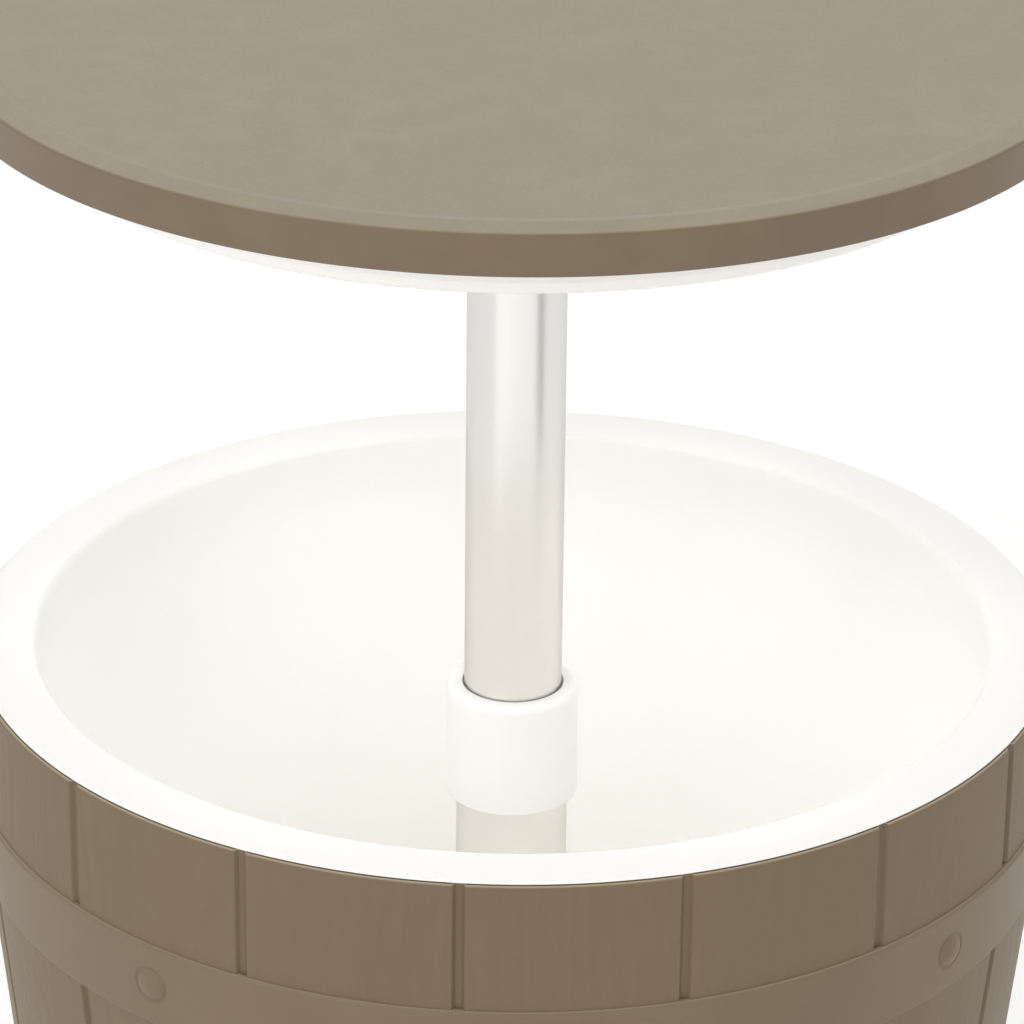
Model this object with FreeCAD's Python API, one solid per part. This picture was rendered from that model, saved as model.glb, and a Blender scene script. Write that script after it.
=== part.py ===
import FreeCAD, Part
import math
import os

os.makedirs("parts", exist_ok=True)

# Tub, millimetres and degrees. The floor is z = 0 and the post stands on the Z axis.
RIM_HEIGHT = 551.0  # top of the bucket's rim
RIM_RADIUS = 245.0
TOP_STRAIGHT = 45.0  # upright part of the shell under the rim
BEND_HEIGHT = 55.0  # height over which the shell bends into its taper
TAPER = 6.0
SHELL_WALL = 3.2
SHELL_BOTTOM = 4.0
SHELL_TOP_CHAMFER = 1.4
STAVE_COUNT = 16
FIRST_GROOVE = -5.0  # from straight ahead towards the right
GROOVE_WIDTH = 4.5
GROOVE_DEPTH = 1.2

# Hoops, moulded on the shell
HOOP_HEIGHT = 40.0
HOOP_PROUD = 1.8
HOOP_EDGE_ROUND = 1.2
UPPER_HOOP_DROP = 60.5  # from the rim down to its upper edge
LOWER_HOOP_RISE = 66.0  # from the floor up to its lower edge
RIVET_RADIUS = 8.7
RIVET_PROUD = 1.1
RIVET_ROUND = 0.9
RIVET_COUNT = 4
RIVET_STAVE = 2  # the stave, counted from the first groove, that has the first rivet

# Bucket
FLANGE_THICKNESS = 2.4
FLANGE_EDGE_ROUND = 1.0
RIM_WIDTH = 29.1  # from the shell's outer face in to the mouth
MOUTH_RADIUS = RIM_RADIUS - RIM_WIDTH
MOUTH_ROUND = 3.0
THROAT_DEPTH = 30.0
BUCKET_DEPTH = 266.0
BUCKET_TAPER = 5.0
BUCKET_CORNER = 20.0
BUCKET_WALL = 3.0
LOCATING_RIB_HEIGHT = 8.0
LOCATING_RIB_WIDTH = 2.0

# Sump in the bucket's floor and the drain behind it
SUMP_WIDTH = 50.0
SUMP_LENGTH = 40.0
SUMP_DEPTH = 30.0
SUMP_EDGE_GAP = 4.0  # from the sump to the start of the bucket's corner
DRAIN_STAVE = 8  # the stave, counted from the first groove, that the drain is in
DRAIN_BORE = 8.0
DRAIN_SHANK = 11.0
DRAIN_FLANGE = 14.0
DRAIN_FLANGE_THICKNESS = 3.0
DRAIN_GASKET_THICKNESS = 1.5
DRAIN_BOSS_RADIUS = 21.0
DRAIN_BOSS_PROUD = 2.6
DRAIN_BOSS_DEPTH = 3.0
DRAIN_NUT_FLATS = 30.0
DRAIN_NUT_HEIGHT = 6.0
DRAIN_THREAD_END = 2.0
PLUG_HEAD_RADIUS = 12.0
PLUG_HEAD_THICKNESS = 3.0
PLUG_SHANK_LENGTH = 20.0
PLUG_GRIP_WIDTH = 16.0
PLUG_GRIP_HEIGHT = 6.0
PLUG_GRIP_THICKNESS = 4.0

# Insulation jacket of the bucket
JACKET_THICKNESS = 16.0
JACKET_TOP_DROP = 14.0
JACKET_HOLE = 52.0

# Base pan with its screws, foot ring and pads
PAN_THICKNESS = 4.0
PAN_HEIGHT = 40.0  # its upper face above the floor
LEDGE_WIDTH = 18.0
LEDGE_THICKNESS = 4.0
FOOT_RING_INSET = 6.7  # from the base screws' circle in to the foot ring
FOOT_RING_WIDTH = 22.0
FOOT_RING_WALL = 4.0
FOOT_WEB_BOTTOM = 2.5
FOOT_WEB_THICKNESS = 6.0
PAD_COUNT = 6
PAD_RADIUS = 9.0
PAD_POCKET = 1.5
BASE_SCREW_COUNT = 8
BASE_SCREW_LENGTH = 16.0
BASE_BOSS_RADIUS = 5.5
BASE_BOSS_HEIGHT = 16.0
PAN_COLLAR_HEIGHT = 18.0
PAN_COLLAR_WALL = 3.5
PAN_RIB_COUNT = 8
PAN_RIB_DEPTH = 12.0
PAN_RIB_THICKNESS = 3.0

# Telescopic post
LOWER_TUBE_RADIUS = 25.5
LOWER_TUBE_WALL = 1.8
UPPER_TUBE_RADIUS = 22.25
UPPER_TUBE_WALL = 1.6
COLLAR_RADIUS = 30.0
COLLAR_HEIGHT = 55.0
COLLAR_TOP_DROP = 28.0  # from the rim down to its upper face
COLLAR_LIP = 2.5
COLLAR_TOP_ROUND = 3.5
COLLAR_BOTTOM_CHAMFER = 0.8
COLLAR_TUBE_GAP = 0.75
BUSH_FLANGE = 2.0
BUSH_LENGTH = 58.0
COLLAR_SCREW_RISE = 12.0

# Foot of the post
FOOT_PLUG_LENGTH = 25.0
FOOT_BOLT_RADIUS = 4.0
FOOT_BOLT_HEAD_FLATS = 13.0
FOOT_BOLT_HEAD_HEIGHT = 5.5
FOOT_WASHER_RADIUS = 12.0
FOOT_WASHER_THICKNESS = 1.6

# Flange that seals the post to the bucket's floor
FLOOR_FLANGE_RADIUS = 44.0
FLOOR_FLANGE_THICKNESS = 5.0
FLOOR_NECK_HEIGHT = 15.0
FLOOR_NECK_WALL = 4.0
FLOOR_GASKET_THICKNESS = 1.5
FLOOR_SCREW_CIRCLE = 72.0
FLOOR_SCREW_COUNT = 4
FLOOR_SCREW_LENGTH = 19.5
FLOOR_BOSS_RADIUS = 5.0
FLOOR_BOSS_HEIGHT = 12.0

# Lid, drawn raised
LID_OVERHANG = 2.0  # beyond the tub's rim
LID_RADIUS = RIM_RADIUS + LID_OVERHANG
LID_BAND = 19.0  # height of its edge band
LIFTED_GAP = 270.0  # from the rim up to the band when the lid is raised
LID_SKIN = 3.2
LID_EDGE_ROUND = 3.0
LID_LOWER_ROUND = 1.0
LIP_INSET = 12.5
LIP_SLOPE = 3.5  # width of the slope inside the crest
LIP_CREST_RADIUS = LID_RADIUS - LIP_INSET
LIP_FOOT_RADIUS = LIP_CREST_RADIUS - LIP_SLOPE
LIP_RISE = 0.6
LIP_FALL = 1.2
LID_BOSS_COUNT = 8
LID_BOSS_RADIUS = 6.0
LID_SCREW_LENGTH = 18.0

# Lower shell of the lid, with the plug that enters the bucket
PLUG_GAP = 2.3  # radial, in the bucket's mouth
PLUG_RADIUS = MOUTH_RADIUS - PLUG_GAP
PLUG_DEPTH = 19.5
PLUG_WALL = 3.0
PLUG_ROUND = 2.5
LOWER_FLANGE_INSET = 0.6
SEAL_PROUD = 1.9
SEAL_RADIUS = PLUG_RADIUS + SEAL_PROUD
SEAL_HEIGHT = 4.5
SEAL_RISE = 6.0  # from the plug's lower face
SEAL_SEAT_DEPTH = 1.2
LID_BOSS_INSET = 25.6  # from the plug's radius in to the bosses
LID_BOSS_CIRCLE = 2 * (PLUG_RADIUS - LID_BOSS_INSET)

# Socket inside the lid that takes the upper tube
SOCKET_FLANGE_RADIUS = 48.0
SOCKET_FLANGE_THICKNESS = 5.0
SOCKET_NECK_RADIUS = 27.5
SOCKET_CAP = 3.0
SOCKET_RIB_COUNT = 8
SOCKET_RIB_THICKNESS = 3.0
SOCKET_RIB_HEIGHT = 22.0
SOCKET_SCREW_CIRCLE = 78.0
SOCKET_SCREW_COUNT = 4
SOCKET_SCREW_LENGTH = 14.0
SOCKET_BOSS_RADIUS = 5.5
CROSS_SCREW_RADIUS = 2.5
CROSS_SCREW_RISE = 19.0  # above the plug's inner face

# Twist lock at the end of the upper tube
STOP_GAP = 0.3  # between ring and bush when the lid is fully raised
STEM_FLANGE = 2.0
STEM_PLUG_LENGTH = 30.0
JOURNAL_RADIUS = 12.0
LOCK_RING_HEIGHT = 16.0
LOCK_RING_SPLIT = 2.0
LOCK_RING_PLAY = 0.2
LOCK_WASHER_RADIUS = 18.0
LOCK_WASHER_THICKNESS = 2.0
LOCK_SCREW_RADIUS = 3.0
LOCK_SCREW_HEAD_RADIUS = 5.5
LOCK_SCREW_HEAD_HEIGHT = 5.0
LOCK_SCREW_LENGTH = 20.0
STEM_RIVET_RADIUS = 2.0

# Small screws, shared by the floor flange, base, lid and collar
SCREW_RADIUS = 2.0
SCREW_HEAD_RADIUS = 4.0
SCREW_HEAD_HEIGHT = 2.4
SCREW_RECESS_RADIUS = 1.4
SCREW_RECESS_DEPTH = 1.3
SCREW_SPARE = 1.5  # hole left beyond a screw's tip

# Clearances
FIT = 0.05  # radial, on shafts and screws
SLIDE_FIT = 0.08  # radial, of the upper tube in its bush
MOULD_GAP = 0.3  # between mouldings that move, or lie close
HOLE_GAP = 0.4  # radial, round what passes through a wall

# Levels and sizes that follow
SHELL_TOP = RIM_HEIGHT - FLANGE_THICKNESS
BEND_TOP = RIM_HEIGHT - TOP_STRAIGHT
BEND_RADIUS = BEND_HEIGHT / math.sin(math.radians(TAPER))
BUCKET_FLOOR = RIM_HEIGHT - BUCKET_DEPTH
THROAT_BOTTOM = RIM_HEIGHT - THROAT_DEPTH
STAVE_ANGLE = 360.0 / STAVE_COUNT
LID_BOTTOM = RIM_HEIGHT + LIFTED_GAP
LID_TOP = LID_BOTTOM + LID_BAND
PLUG_BOTTOM = LID_BOTTOM - PLUG_DEPTH
PLUG_FLOOR = PLUG_BOTTOM + PLUG_WALL
SKIN_UNDERSIDE = LID_TOP - LIP_RISE - LID_SKIN
COLLAR_TOP = RIM_HEIGHT - COLLAR_TOP_DROP
COLLAR_BOTTOM = COLLAR_TOP - COLLAR_HEIGHT
LOWER_TUBE_TOP = COLLAR_TOP - COLLAR_LIP - BUSH_FLANGE
LOWER_TUBE_BORE = LOWER_TUBE_RADIUS - LOWER_TUBE_WALL
UPPER_TUBE_BORE = UPPER_TUBE_RADIUS - UPPER_TUBE_WALL
BUSH_BOTTOM = LOWER_TUBE_TOP - BUSH_LENGTH
LOCK_RING_TOP = BUSH_BOTTOM - STOP_GAP
LOCK_RING_BOTTOM = LOCK_RING_TOP - LOCK_RING_HEIGHT
STEM_SHOULDER = LOCK_RING_TOP + LOCK_RING_PLAY / 2
UPPER_TUBE_BOTTOM = STEM_SHOULDER + STEM_FLANGE
JOURNAL_END = LOCK_RING_BOTTOM - LOCK_RING_PLAY / 2
FLOOR_FLANGE_BOTTOM = BUCKET_FLOOR + FLOOR_GASKET_THICKNESS
FLOOR_FLANGE_TOP = FLOOR_FLANGE_BOTTOM + FLOOR_FLANGE_THICKNESS
SCREW_HOLE = SCREW_RADIUS + FIT
DRAIN_HEIGHT = BUCKET_FLOOR - SUMP_DEPTH / 2
DRAIN_TURN = FIRST_GROOVE + STAVE_ANGLE * (DRAIN_STAVE + 0.5) - 180.0


def disc(radius, low, high):
    """Upright cylinder on the Z axis."""
    return Part.makeCylinder(radius, high - low, FreeCAD.Vector(0, 0, low))


def ring(outer, inner, low, high):
    """Upright tube on the Z axis."""
    return disc(outer, low, high).cut(disc(inner, low, high))


def peg(radius, x, y, low, high):
    """Upright cylinder at x, y."""
    return Part.makeCylinder(radius, high - low, FreeCAD.Vector(x, y, low))


def bar(radius, start, end, height):
    """Level cylinder along +Y at the given height."""
    return Part.makeCylinder(radius, end - start, FreeCAD.Vector(0, start, height), FreeCAD.Vector(0, 1, 0))


def level_ring(outer, inner, start, end, height):
    """Level tube along +Y at the given height."""
    return bar(outer, start, end, height).cut(bar(inner, start, end, height))


def line(start, end):
    """Edge between two points given as radius and height."""
    return Part.LineSegment(FreeCAD.Vector(start[0], 0, start[1]), FreeCAD.Vector(end[0], 0, end[1])).toShape()


def arc(start, middle, end):
    """Circular edge through three points given as radius and height."""
    corners = [FreeCAD.Vector(p[0], 0, p[1]) for p in (start, middle, end)]
    return Part.Arc(*corners).toShape()


def outline(edges):
    """Flat face inside a closed run of edges, given in any order."""
    return Part.Face(Part.Wire(Part.sortEdges(edges)[0]))


def turned(edges):
    """Solid turned about the Z axis from a closed run of edges."""
    return outline(edges).revolve(FreeCAD.Vector(0, 0, 0), FreeCAD.Vector(0, 0, 1), 360)


def polygon(points):
    """Closed run of straight edges."""
    ends = points[1:] + points[:1]
    return [line(a, b) for a, b in zip(points, ends)]


def on_circle(radius, count, first=0.0):
    """Points evenly spaced on a circle round the Z axis."""
    angles = [math.radians(first + 360.0 * i / count) for i in range(count)]
    return [(radius * math.cos(a), radius * math.sin(a)) for a in angles]


def spun(shape, degrees):
    """Copy of a shape turned about the Z axis."""
    copy = shape.copy()
    copy.rotate(FreeCAD.Vector(0, 0, 0), FreeCAD.Vector(0, 0, 1), degrees)
    return copy


def joined(shapes):
    """One solid from overlapping shapes."""
    return shapes[0].fuse(shapes[1:]).removeSplitter()


def hexagon(flats, start, end, height):
    """Level hexagonal bar along +Y at the given height."""
    corner = flats / math.sqrt(3)
    points = [FreeCAD.Vector(x, start, height + z) for x, z in on_circle(corner, 6)]
    return Part.Face(Part.makePolygon(points + points[:1])).extrude(FreeCAD.Vector(0, end - start, 0))


def screw(x, y, seat, length, upwards):
    """Pan-head screw whose head bears on the level seat."""
    way = 1 if upwards else -1
    up = FreeCAD.Vector(0, 0, way)
    head_end = seat - way * SCREW_HEAD_HEIGHT
    head = Part.makeCylinder(SCREW_HEAD_RADIUS, SCREW_HEAD_HEIGHT, FreeCAD.Vector(x, y, head_end), up)
    shank = Part.makeCylinder(SCREW_RADIUS, length, FreeCAD.Vector(x, y, seat), up)
    recess = Part.makeCylinder(SCREW_RECESS_RADIUS, SCREW_RECESS_DEPTH, FreeCAD.Vector(x, y, head_end), up)
    return head.fuse(shank).cut(recess)


def screws(circle, count, seat, length, upwards, first=0.0):
    """Group of equal screws on a circle."""
    return Part.makeCompound([screw(x, y, seat, length, upwards) for x, y in on_circle(circle / 2, count, first)])


def pegs(radius, circle, count, low, high, first=0.0):
    """Group of equal upright cylinders on a circle."""
    return [peg(radius, x, y, low, high) for x, y in on_circle(circle / 2, count, first)]


def shell_radius(height, inset):
    """Radius of the tub's shell at a height, measured inwards from its outer face."""
    slope = math.radians(TAPER)
    drop = BEND_TOP - height
    radius = BEND_RADIUS - inset
    if drop <= 0:
        return RIM_RADIUS - inset
    if drop < radius * math.sin(slope):
        return RIM_RADIUS - BEND_RADIUS + math.sqrt(radius ** 2 - drop ** 2)
    knee = RIM_RADIUS - BEND_RADIUS + radius * math.cos(slope)
    return knee - (drop - radius * math.sin(slope)) * math.tan(slope)


def shell_line(inset, low):
    """Edges of the shell's outline from its top down to a height: upright, bend, taper."""
    slope = math.radians(TAPER)
    radius = BEND_RADIUS - inset
    centre = RIM_RADIUS - BEND_RADIUS
    top = (RIM_RADIUS - inset, SHELL_TOP)
    bend_start = (RIM_RADIUS - inset, BEND_TOP)
    bend_middle = (centre + radius * math.cos(slope / 2), BEND_TOP - radius * math.sin(slope / 2))
    bend_end = (centre + radius * math.cos(slope), BEND_TOP - radius * math.sin(slope))
    bottom = (shell_radius(low, inset), low)
    return [line(top, bend_start), arc(bend_start, bend_middle, bend_end), line(bend_end, bottom)], top, bottom


def shell_band(outer_inset, inner_inset, low):
    """Face between two insets of the shell's outline."""
    outer, outer_top, outer_bottom = shell_line(outer_inset, low)
    inner, inner_top, inner_bottom = shell_line(inner_inset, low)
    return outline(outer + [line(outer_bottom, inner_bottom)] + inner + [line(inner_top, outer_top)])


def turn_face(face):
    """Solid turned about the Z axis from a face."""
    return face.revolve(FreeCAD.Vector(0, 0, 0), FreeCAD.Vector(0, 0, 1), 360)


def hoop(low):
    """Smooth band round the shell, straight from edge to edge, with rounded outer edges."""
    high = low + HOOP_HEIGHT
    outer_high = (shell_radius(high, -HOOP_PROUD), high)
    outer_low = (shell_radius(low, -HOOP_PROUD), low)
    inner_high = (shell_radius(high, GROOVE_DEPTH + FIT), high)
    inner_low = (shell_radius(low, GROOVE_DEPTH + FIT), low)
    band = turned(polygon([outer_high, inner_high, inner_low, outer_low]))
    edges = []
    for edge in band.Edges:
        box = edge.BoundBox
        if box.ZLength < FIT and box.XMax > shell_radius(box.ZMin, 0):
            edges.append(edge)
    return band.makeFillet(HOOP_EDGE_ROUND, edges)


def hoop_rivets(low):
    """Domed rivet heads on a hoop, square to the shell's wall."""
    height = low + HOOP_HEIGHT / 2
    radius = (shell_radius(low, -HOOP_PROUD) + shell_radius(low + HOOP_HEIGHT, -HOOP_PROUD)) / 2
    head = Part.makeCylinder(RIVET_RADIUS, HOOP_PROUD + RIVET_PROUD, FreeCAD.Vector(0, 0, -HOOP_PROUD))
    rim = [e for e in head.Edges if e.BoundBox.ZMin > RIVET_PROUD - FIT]
    head = head.makeFillet(RIVET_ROUND, rim)
    slope = (shell_radius(low + HOOP_HEIGHT, 0) - shell_radius(low, 0)) / HOOP_HEIGHT
    head.rotate(FreeCAD.Vector(0, 0, 0), FreeCAD.Vector(1, 0, 0), 90 + math.degrees(math.atan(slope)))
    head.translate(FreeCAD.Vector(0, -radius, height))
    first = FIRST_GROOVE + STAVE_ANGLE * (RIVET_STAVE + 0.5)
    return [spun(head, first + 360.0 * i / RIVET_COUNT) for i in range(RIVET_COUNT)]


def stave_grooves():
    """Cutters for the grooves between the staves."""
    face = shell_band(-HOOP_PROUD, GROOVE_DEPTH, SHELL_BOTTOM)
    face.translate(FreeCAD.Vector(0, -GROOVE_WIDTH / 2, 0))
    cutter = face.extrude(FreeCAD.Vector(0, GROOVE_WIDTH, 0))
    return [spun(cutter, FIRST_GROOVE - 90 + STAVE_ANGLE * i) for i in range(STAVE_COUNT)]


def base_screw_circle():
    """Circle of the screws that join the pan to the shell's ledge."""
    return 2 * (shell_radius(PAN_HEIGHT, SHELL_WALL) - LEDGE_WIDTH / 2)


def drain_face():
    """Distance from the axis to the flat face of the drain's boss."""
    return shell_radius(DRAIN_HEIGHT, 0) + DRAIN_BOSS_PROUD


def barrel_shell():
    """Outer shell: staves, hoops with rivets, ledge with screw bosses, drain boss."""
    body = turn_face(shell_band(0, SHELL_WALL, SHELL_BOTTOM))
    rim = RIM_RADIUS - SHELL_TOP_CHAMFER
    corner = [(rim, SHELL_TOP), (RIM_RADIUS + 1, SHELL_TOP), (RIM_RADIUS + 1, SHELL_TOP - SHELL_TOP_CHAMFER - 1)]
    corner.append((RIM_RADIUS, SHELL_TOP - SHELL_TOP_CHAMFER))
    body = body.cut(stave_grooves() + [turned(polygon(corner))])
    wall = shell_radius(PAN_HEIGHT, SHELL_WALL)
    ledge = ring(wall + SHELL_WALL / 2, wall - LEDGE_WIDTH, PAN_HEIGHT, PAN_HEIGHT + LEDGE_THICKNESS)
    boss_top = PAN_HEIGHT + BASE_BOSS_HEIGHT
    bosses = pegs(BASE_BOSS_RADIUS, base_screw_circle(), BASE_SCREW_COUNT, PAN_HEIGHT, boss_top)
    face = drain_face()
    boss_start = shell_radius(DRAIN_HEIGHT, SHELL_WALL) - DRAIN_BOSS_DEPTH
    drain_boss = spun(bar(DRAIN_BOSS_RADIUS, boss_start, face, DRAIN_HEIGHT), DRAIN_TURN)
    upper = RIM_HEIGHT - UPPER_HOOP_DROP - HOOP_HEIGHT
    hoops = [hoop(upper), hoop(LOWER_HOOP_RISE)]
    rivets = hoop_rivets(upper) + hoop_rivets(LOWER_HOOP_RISE)
    body = joined([body, ledge, drain_boss] + bosses + hoops + rivets)
    hole_top = PAN_HEIGHT - PAN_THICKNESS + BASE_SCREW_LENGTH + SCREW_SPARE
    holes = pegs(SCREW_HOLE, base_screw_circle(), BASE_SCREW_COUNT, PAN_HEIGHT, hole_top)
    bore = spun(bar(DRAIN_SHANK + HOLE_GAP, boss_start, face, DRAIN_HEIGHT), DRAIN_TURN)
    return body.cut(holes + [bore])


def bucket_corner():
    """Tangent point, centre and slope of the bucket's lower inside corner."""
    slope = math.radians(BUCKET_TAPER)
    height = BUCKET_FLOOR + BUCKET_CORNER * (1 - math.sin(slope))
    radius = MOUTH_RADIUS - (THROAT_BOTTOM - height) * math.tan(slope)
    centre = (radius - BUCKET_CORNER * math.cos(slope), BUCKET_FLOOR + BUCKET_CORNER)
    return centre, slope


def bucket_line(outset, high, hole):
    """Edges of the bucket's inside, moved out by outset: throat, taper, corner, floor."""
    centre, slope = bucket_corner()
    radius = BUCKET_CORNER + outset
    top = (MOUTH_RADIUS + outset, high)
    throat = (MOUTH_RADIUS + outset, THROAT_BOTTOM - outset * math.tan(slope / 2))
    wall_end = (centre[0] + radius * math.cos(slope), centre[1] - radius * math.sin(slope))
    half = (math.pi / 2 + slope) / 2
    middle = (centre[0] + radius * math.cos(half), centre[1] - radius * math.sin(half))
    floor_start = (centre[0], centre[1] - radius)
    floor_end = (hole, centre[1] - radius)
    edges = [line(top, throat), line(throat, wall_end), arc(wall_end, middle, floor_start)]
    return edges + [line(floor_start, floor_end)], top, floor_end


def sump_back():
    """Distance from the axis to the sump's flat rear face."""
    return bucket_corner()[0][0] - SUMP_EDGE_GAP


def sump(outset):
    """Block of the sump's inside, moved out by outset."""
    low = BUCKET_FLOOR - SUMP_DEPTH - outset
    corner = FreeCAD.Vector(-SUMP_WIDTH / 2 - outset, sump_back() - SUMP_LENGTH - outset, low)
    length = SUMP_LENGTH + 2 * outset
    block = Part.makeBox(SUMP_WIDTH + 2 * outset, length, SUMP_DEPTH + outset, corner)
    return spun(block, DRAIN_TURN)


def bucket_liner():
    """White bucket: rim flange, throat, tapered wall, floor with sump and post hole."""
    hole = LOWER_TUBE_RADIUS + HOLE_GAP
    inner, inner_top, inner_end = bucket_line(0, RIM_HEIGHT - MOUTH_ROUND, hole)
    outer, outer_top, outer_end = bucket_line(BUCKET_WALL, SHELL_TOP, hole)
    bend = 1 - math.sqrt(0.5)
    mouth = (MOUTH_RADIUS + MOUTH_ROUND, RIM_HEIGHT)
    mouth_middle = (MOUTH_RADIUS + MOUTH_ROUND * bend, RIM_HEIGHT - MOUTH_ROUND * bend)
    edge_top = (RIM_RADIUS - FLANGE_EDGE_ROUND, RIM_HEIGHT)
    edge_middle = (RIM_RADIUS - FLANGE_EDGE_ROUND * bend, RIM_HEIGHT - FLANGE_EDGE_ROUND * bend)
    edge_side = (RIM_RADIUS, RIM_HEIGHT - FLANGE_EDGE_ROUND)
    edge_low = (RIM_RADIUS, SHELL_TOP)
    edges = inner + [line(inner_end, outer_end)] + outer + [line(outer_top, edge_low), line(edge_low, edge_side)]
    edges += [arc(edge_side, edge_middle, edge_top), line(edge_top, mouth), arc(mouth, mouth_middle, inner_top)]
    rib_outer = RIM_RADIUS - SHELL_WALL - MOULD_GAP
    rib = ring(rib_outer, rib_outer - LOCATING_RIB_WIDTH, SHELL_TOP - LOCATING_RIB_HEIGHT, SHELL_TOP + 1)
    boss_low = BUCKET_FLOOR - BUCKET_WALL - FLOOR_BOSS_HEIGHT
    bosses = pegs(FLOOR_BOSS_RADIUS, FLOOR_SCREW_CIRCLE, FLOOR_SCREW_COUNT, boss_low, BUCKET_FLOOR, 45)
    body = joined([turned(edges), rib, sump(BUCKET_WALL)] + bosses)
    hole_low = FLOOR_FLANGE_TOP - FLOOR_SCREW_LENGTH - SCREW_SPARE
    holes = pegs(SCREW_HOLE, FLOOR_SCREW_CIRCLE, FLOOR_SCREW_COUNT, hole_low, BUCKET_FLOOR, 45)
    back = sump_back()
    bore = spun(bar(DRAIN_SHANK + HOLE_GAP, back, back + BUCKET_WALL, DRAIN_HEIGHT), DRAIN_TURN)
    return body.cut(holes + [sump(0), bore])


def bucket_jacket():
    """Foam jacket that lines the outside of the bucket."""
    gap = BUCKET_WALL + MOULD_GAP
    high = RIM_HEIGHT - JACKET_TOP_DROP
    inner, inner_top, inner_end = bucket_line(gap, high, JACKET_HOLE)
    outer, outer_top, outer_end = bucket_line(gap + JACKET_THICKNESS, high, JACKET_HOLE)
    body = turned(inner + [line(inner_end, outer_end)] + outer + [line(outer_top, inner_top)])
    low = BUCKET_FLOOR - SUMP_DEPTH - gap
    pocket = sump(gap)
    reach = shell_radius(DRAIN_HEIGHT, 0)
    channel = spun(bar(DRAIN_SHANK + HOLE_GAP, sump_back(), reach, DRAIN_HEIGHT), DRAIN_TURN)
    return body.cut([pocket, channel]) if low < BUCKET_FLOOR else body


def drain_fitting():
    """Threaded drain tube with its flange inside the sump."""
    seat = sump_back() - DRAIN_GASKET_THICKNESS
    end = drain_face() + DRAIN_NUT_HEIGHT + DRAIN_THREAD_END
    flange = bar(DRAIN_FLANGE, seat - DRAIN_FLANGE_THICKNESS, seat, DRAIN_HEIGHT)
    shank = bar(DRAIN_SHANK, seat, end, DRAIN_HEIGHT)
    bore = bar(DRAIN_BORE, seat - DRAIN_FLANGE_THICKNESS, end, DRAIN_HEIGHT)
    return spun(joined([flange, shank]).cut(bore), DRAIN_TURN)


def drain_gasket():
    """Soft ring between the drain's flange and the sump."""
    back = sump_back()
    body = level_ring(DRAIN_FLANGE, DRAIN_SHANK + FIT, back - DRAIN_GASKET_THICKNESS, back, DRAIN_HEIGHT)
    return spun(body, DRAIN_TURN)


def drain_nut():
    """Hexagonal nut on the outside of the shell."""
    face = drain_face()
    body = hexagon(DRAIN_NUT_FLATS, face, face + DRAIN_NUT_HEIGHT, DRAIN_HEIGHT)
    bore = bar(DRAIN_SHANK + FIT, face, face + DRAIN_NUT_HEIGHT, DRAIN_HEIGHT)
    return spun(body.cut(bore), DRAIN_TURN)


def drain_plug():
    """Push-in stopper with a flat grip."""
    mouth = drain_face() + DRAIN_NUT_HEIGHT + DRAIN_THREAD_END
    head_end = mouth + PLUG_HEAD_THICKNESS
    shank = bar(DRAIN_BORE - FIT, mouth - PLUG_SHANK_LENGTH, mouth, DRAIN_HEIGHT)
    head = bar(PLUG_HEAD_RADIUS, mouth, head_end, DRAIN_HEIGHT)
    corner = FreeCAD.Vector(-PLUG_GRIP_WIDTH / 2, head_end, DRAIN_HEIGHT - PLUG_GRIP_THICKNESS / 2)
    grip = Part.makeBox(PLUG_GRIP_WIDTH, PLUG_GRIP_HEIGHT, PLUG_GRIP_THICKNESS, corner)
    return spun(joined([shank, head, grip]), DRAIN_TURN)


def foot_ring_outer():
    """Outer radius of the foot ring, inside the base screws' heads."""
    return base_screw_circle() / 2 - FOOT_RING_INSET


def foot_ring_inner():
    """Inner radius of the foot ring."""
    return foot_ring_outer() - FOOT_RING_WIDTH


def pan_ribs():
    """Ribs under the base pan, from the bolt's washer out to the foot ring."""
    start = FOOT_WASHER_RADIUS + HOLE_GAP
    length = foot_ring_inner() - MOULD_GAP - start
    low = PAN_HEIGHT - PAN_THICKNESS - PAN_RIB_DEPTH
    corner = FreeCAD.Vector(start, -PAN_RIB_THICKNESS / 2, low)
    rib = Part.makeBox(length, PAN_RIB_THICKNESS, PAN_RIB_DEPTH + PAN_THICKNESS / 2, corner)
    return [spun(rib, 360.0 / PAN_RIB_COUNT * i) for i in range(PAN_RIB_COUNT)]


def base_pan():
    """Bottom cover: plate, ribs and collar round the post's foot."""
    low = PAN_HEIGHT - PAN_THICKNESS
    outer = shell_radius(low, SHELL_WALL) - HOLE_GAP
    plate = disc(outer, low, PAN_HEIGHT)
    collar_outer = LOWER_TUBE_RADIUS + FIT + PAN_COLLAR_WALL
    collar = disc(collar_outer, low, PAN_HEIGHT + PAN_COLLAR_HEIGHT)
    body = joined([plate, collar] + pan_ribs())
    seat = disc(LOWER_TUBE_RADIUS + FIT, PAN_HEIGHT, PAN_HEIGHT + PAN_COLLAR_HEIGHT)
    bolt_hole = disc(FOOT_BOLT_RADIUS + HOLE_GAP, low, PAN_HEIGHT)
    screw_holes = pegs(SCREW_HOLE, base_screw_circle(), BASE_SCREW_COUNT, low, PAN_HEIGHT)
    return body.cut([seat, bolt_hole] + screw_holes)


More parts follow.
